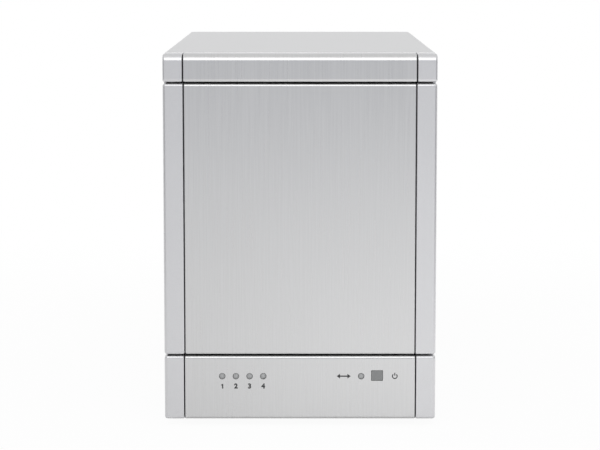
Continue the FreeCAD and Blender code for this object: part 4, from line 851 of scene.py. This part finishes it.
def table_paper():
    """Paper that takes the object's shadow, covered by white where it is seen, and in reflections by
    white with painted shade and light: dimmer close by, to the left and behind, a little brighter to
    the right.
    """
    material, place = new_finish("table_white")
    shadow_reach = 0.45
    contact_reach = 0.02
    dim_reach = 0.20
    rear_reach = 0.35
    dim_left, bright_right = -0.12, 0.08
    seen, mirrored = shown_share(place)
    x, y, _ = place.parts()
    outside = place.maths("MAXIMUM", abs(x) - cad_box[1].x, abs(y) - cad_box[1].y)
    seen_white = seen * outside.step(0.0, shadow_reach, 0.95, 1.0)
    mirrored_white = mirrored * outside.step(0.0, contact_reach, 0.1, 1.0)
    # Painted shade and light in the table's reflections: dimmer to the left and brighter to the right,
    # dimmer close to the object, and dimmer behind it.
    beside = x.step(dim_left, bright_right, 0.85, 1.04)
    close = outside.step(0.0, dim_reach, 0.86, 1.0)
    behind = y.step(0.0, rear_reach, 1.0, 0.68)
    paper = place.node("BsdfDiffuse", {}, {"Color": (0.9, 0.9, 0.9, 1.0)})
    white = place.node("Emission", {}, {"Color": seen + mirrored * (beside * close * behind)})
    both = place.node("MixShader", {}, {0: seen_white + mirrored_white, 1: paper, 2: white})
    place.node("OutputMaterial", {}, {"Surface": both})
    return material


def add_table():
    half_width = 0.5
    half_length = 1.5
    shape = bmesh.new()
    bmesh.ops.create_grid(shape, x_segments=4, y_segments=12, size=half_length)
    bmesh.ops.scale(shape, vec=(half_width / half_length, 1.0, 1.0), verts=shape.verts[:])
    mesh = bpy.data.meshes.new("white_table")
    shape.to_mesh(mesh)
    shape.free()
    mesh.materials.append(table_paper())
    table = bpy.data.objects.new("white_table", mesh)
    scene.collection.objects.link(table)


def light_room():
    """Grey walls and a paler ceiling light the object, and white stands behind it."""
    world = bpy.data.worlds.new("white_studio")
    world.use_nodes = True
    world.node_tree.nodes.clear()
    plain_wall = (0.632, 0.642, 0.671, 1.0)
    side_wall = (0.30, 0.30, 0.31, 1.0)
    overhead = (0.76, 0.76, 0.76, 1.0)
    plain_white = (1.0, 1.0, 1.0, 1.0)
    direction = Wire(world.node_tree).node("TexCoord", {}, {}, "Generated")
    seen, mirrored = shown_share(direction)
    x, y, z = direction.parts()
    sweep = y.step(-0.2, 0.4) * z.step(0.12, 0.5, 1.0, 0.0)
    walls = abs(x).step(0.55, 0.9).mix(plain_wall, side_wall)
    room = z.step(0.15, 0.7).mix(walls, overhead)
    lit = direction.node("Background", {}, {"Color": room, "Strength": 1.0})
    white = direction.node("Background", {}, {"Color": plain_white, "Strength": 1.0})
    both = direction.node("MixShader", {}, {0: seen + mirrored * sweep, 1: lit, 2: white})
    direction.node("OutputWorld", {}, {"Surface": both})
    scene.world = world


add_table()
light_room()
add_lamp(
    "front_softbox",
    place=(0.0, -1.4, 1.45),
    aim=(0.0, 0.0, 0.1),
    width=2.0,
    height=1.0,
    radiance=1.15,
)

# Camera: the photograph's view, level across and tipped down a little.
# It stands about a metre in front of the door and 5 cm above the top, with a long lens.

image_width = 600
sensor = 36.0
focal_pixels = 2153.5
camera_distance = 1.0316
camera_height = 0.2316
tipped_down = 7.336
camera_data = bpy.data.cameras.new("photo_camera")
camera_data.sensor_width = sensor
camera_data.lens = sensor * focal_pixels / image_width
camera = bpy.data.objects.new("photo_camera", camera_data)
camera.location = (0.0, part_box("door_panel")[0].y - camera_distance, camera_height)
camera.rotation_euler = (math.radians(90.0 - tipped_down), 0.0, 0.0)
scene.collection.objects.link(camera)
scene.camera = camera

bpy.context.view_layer.update()
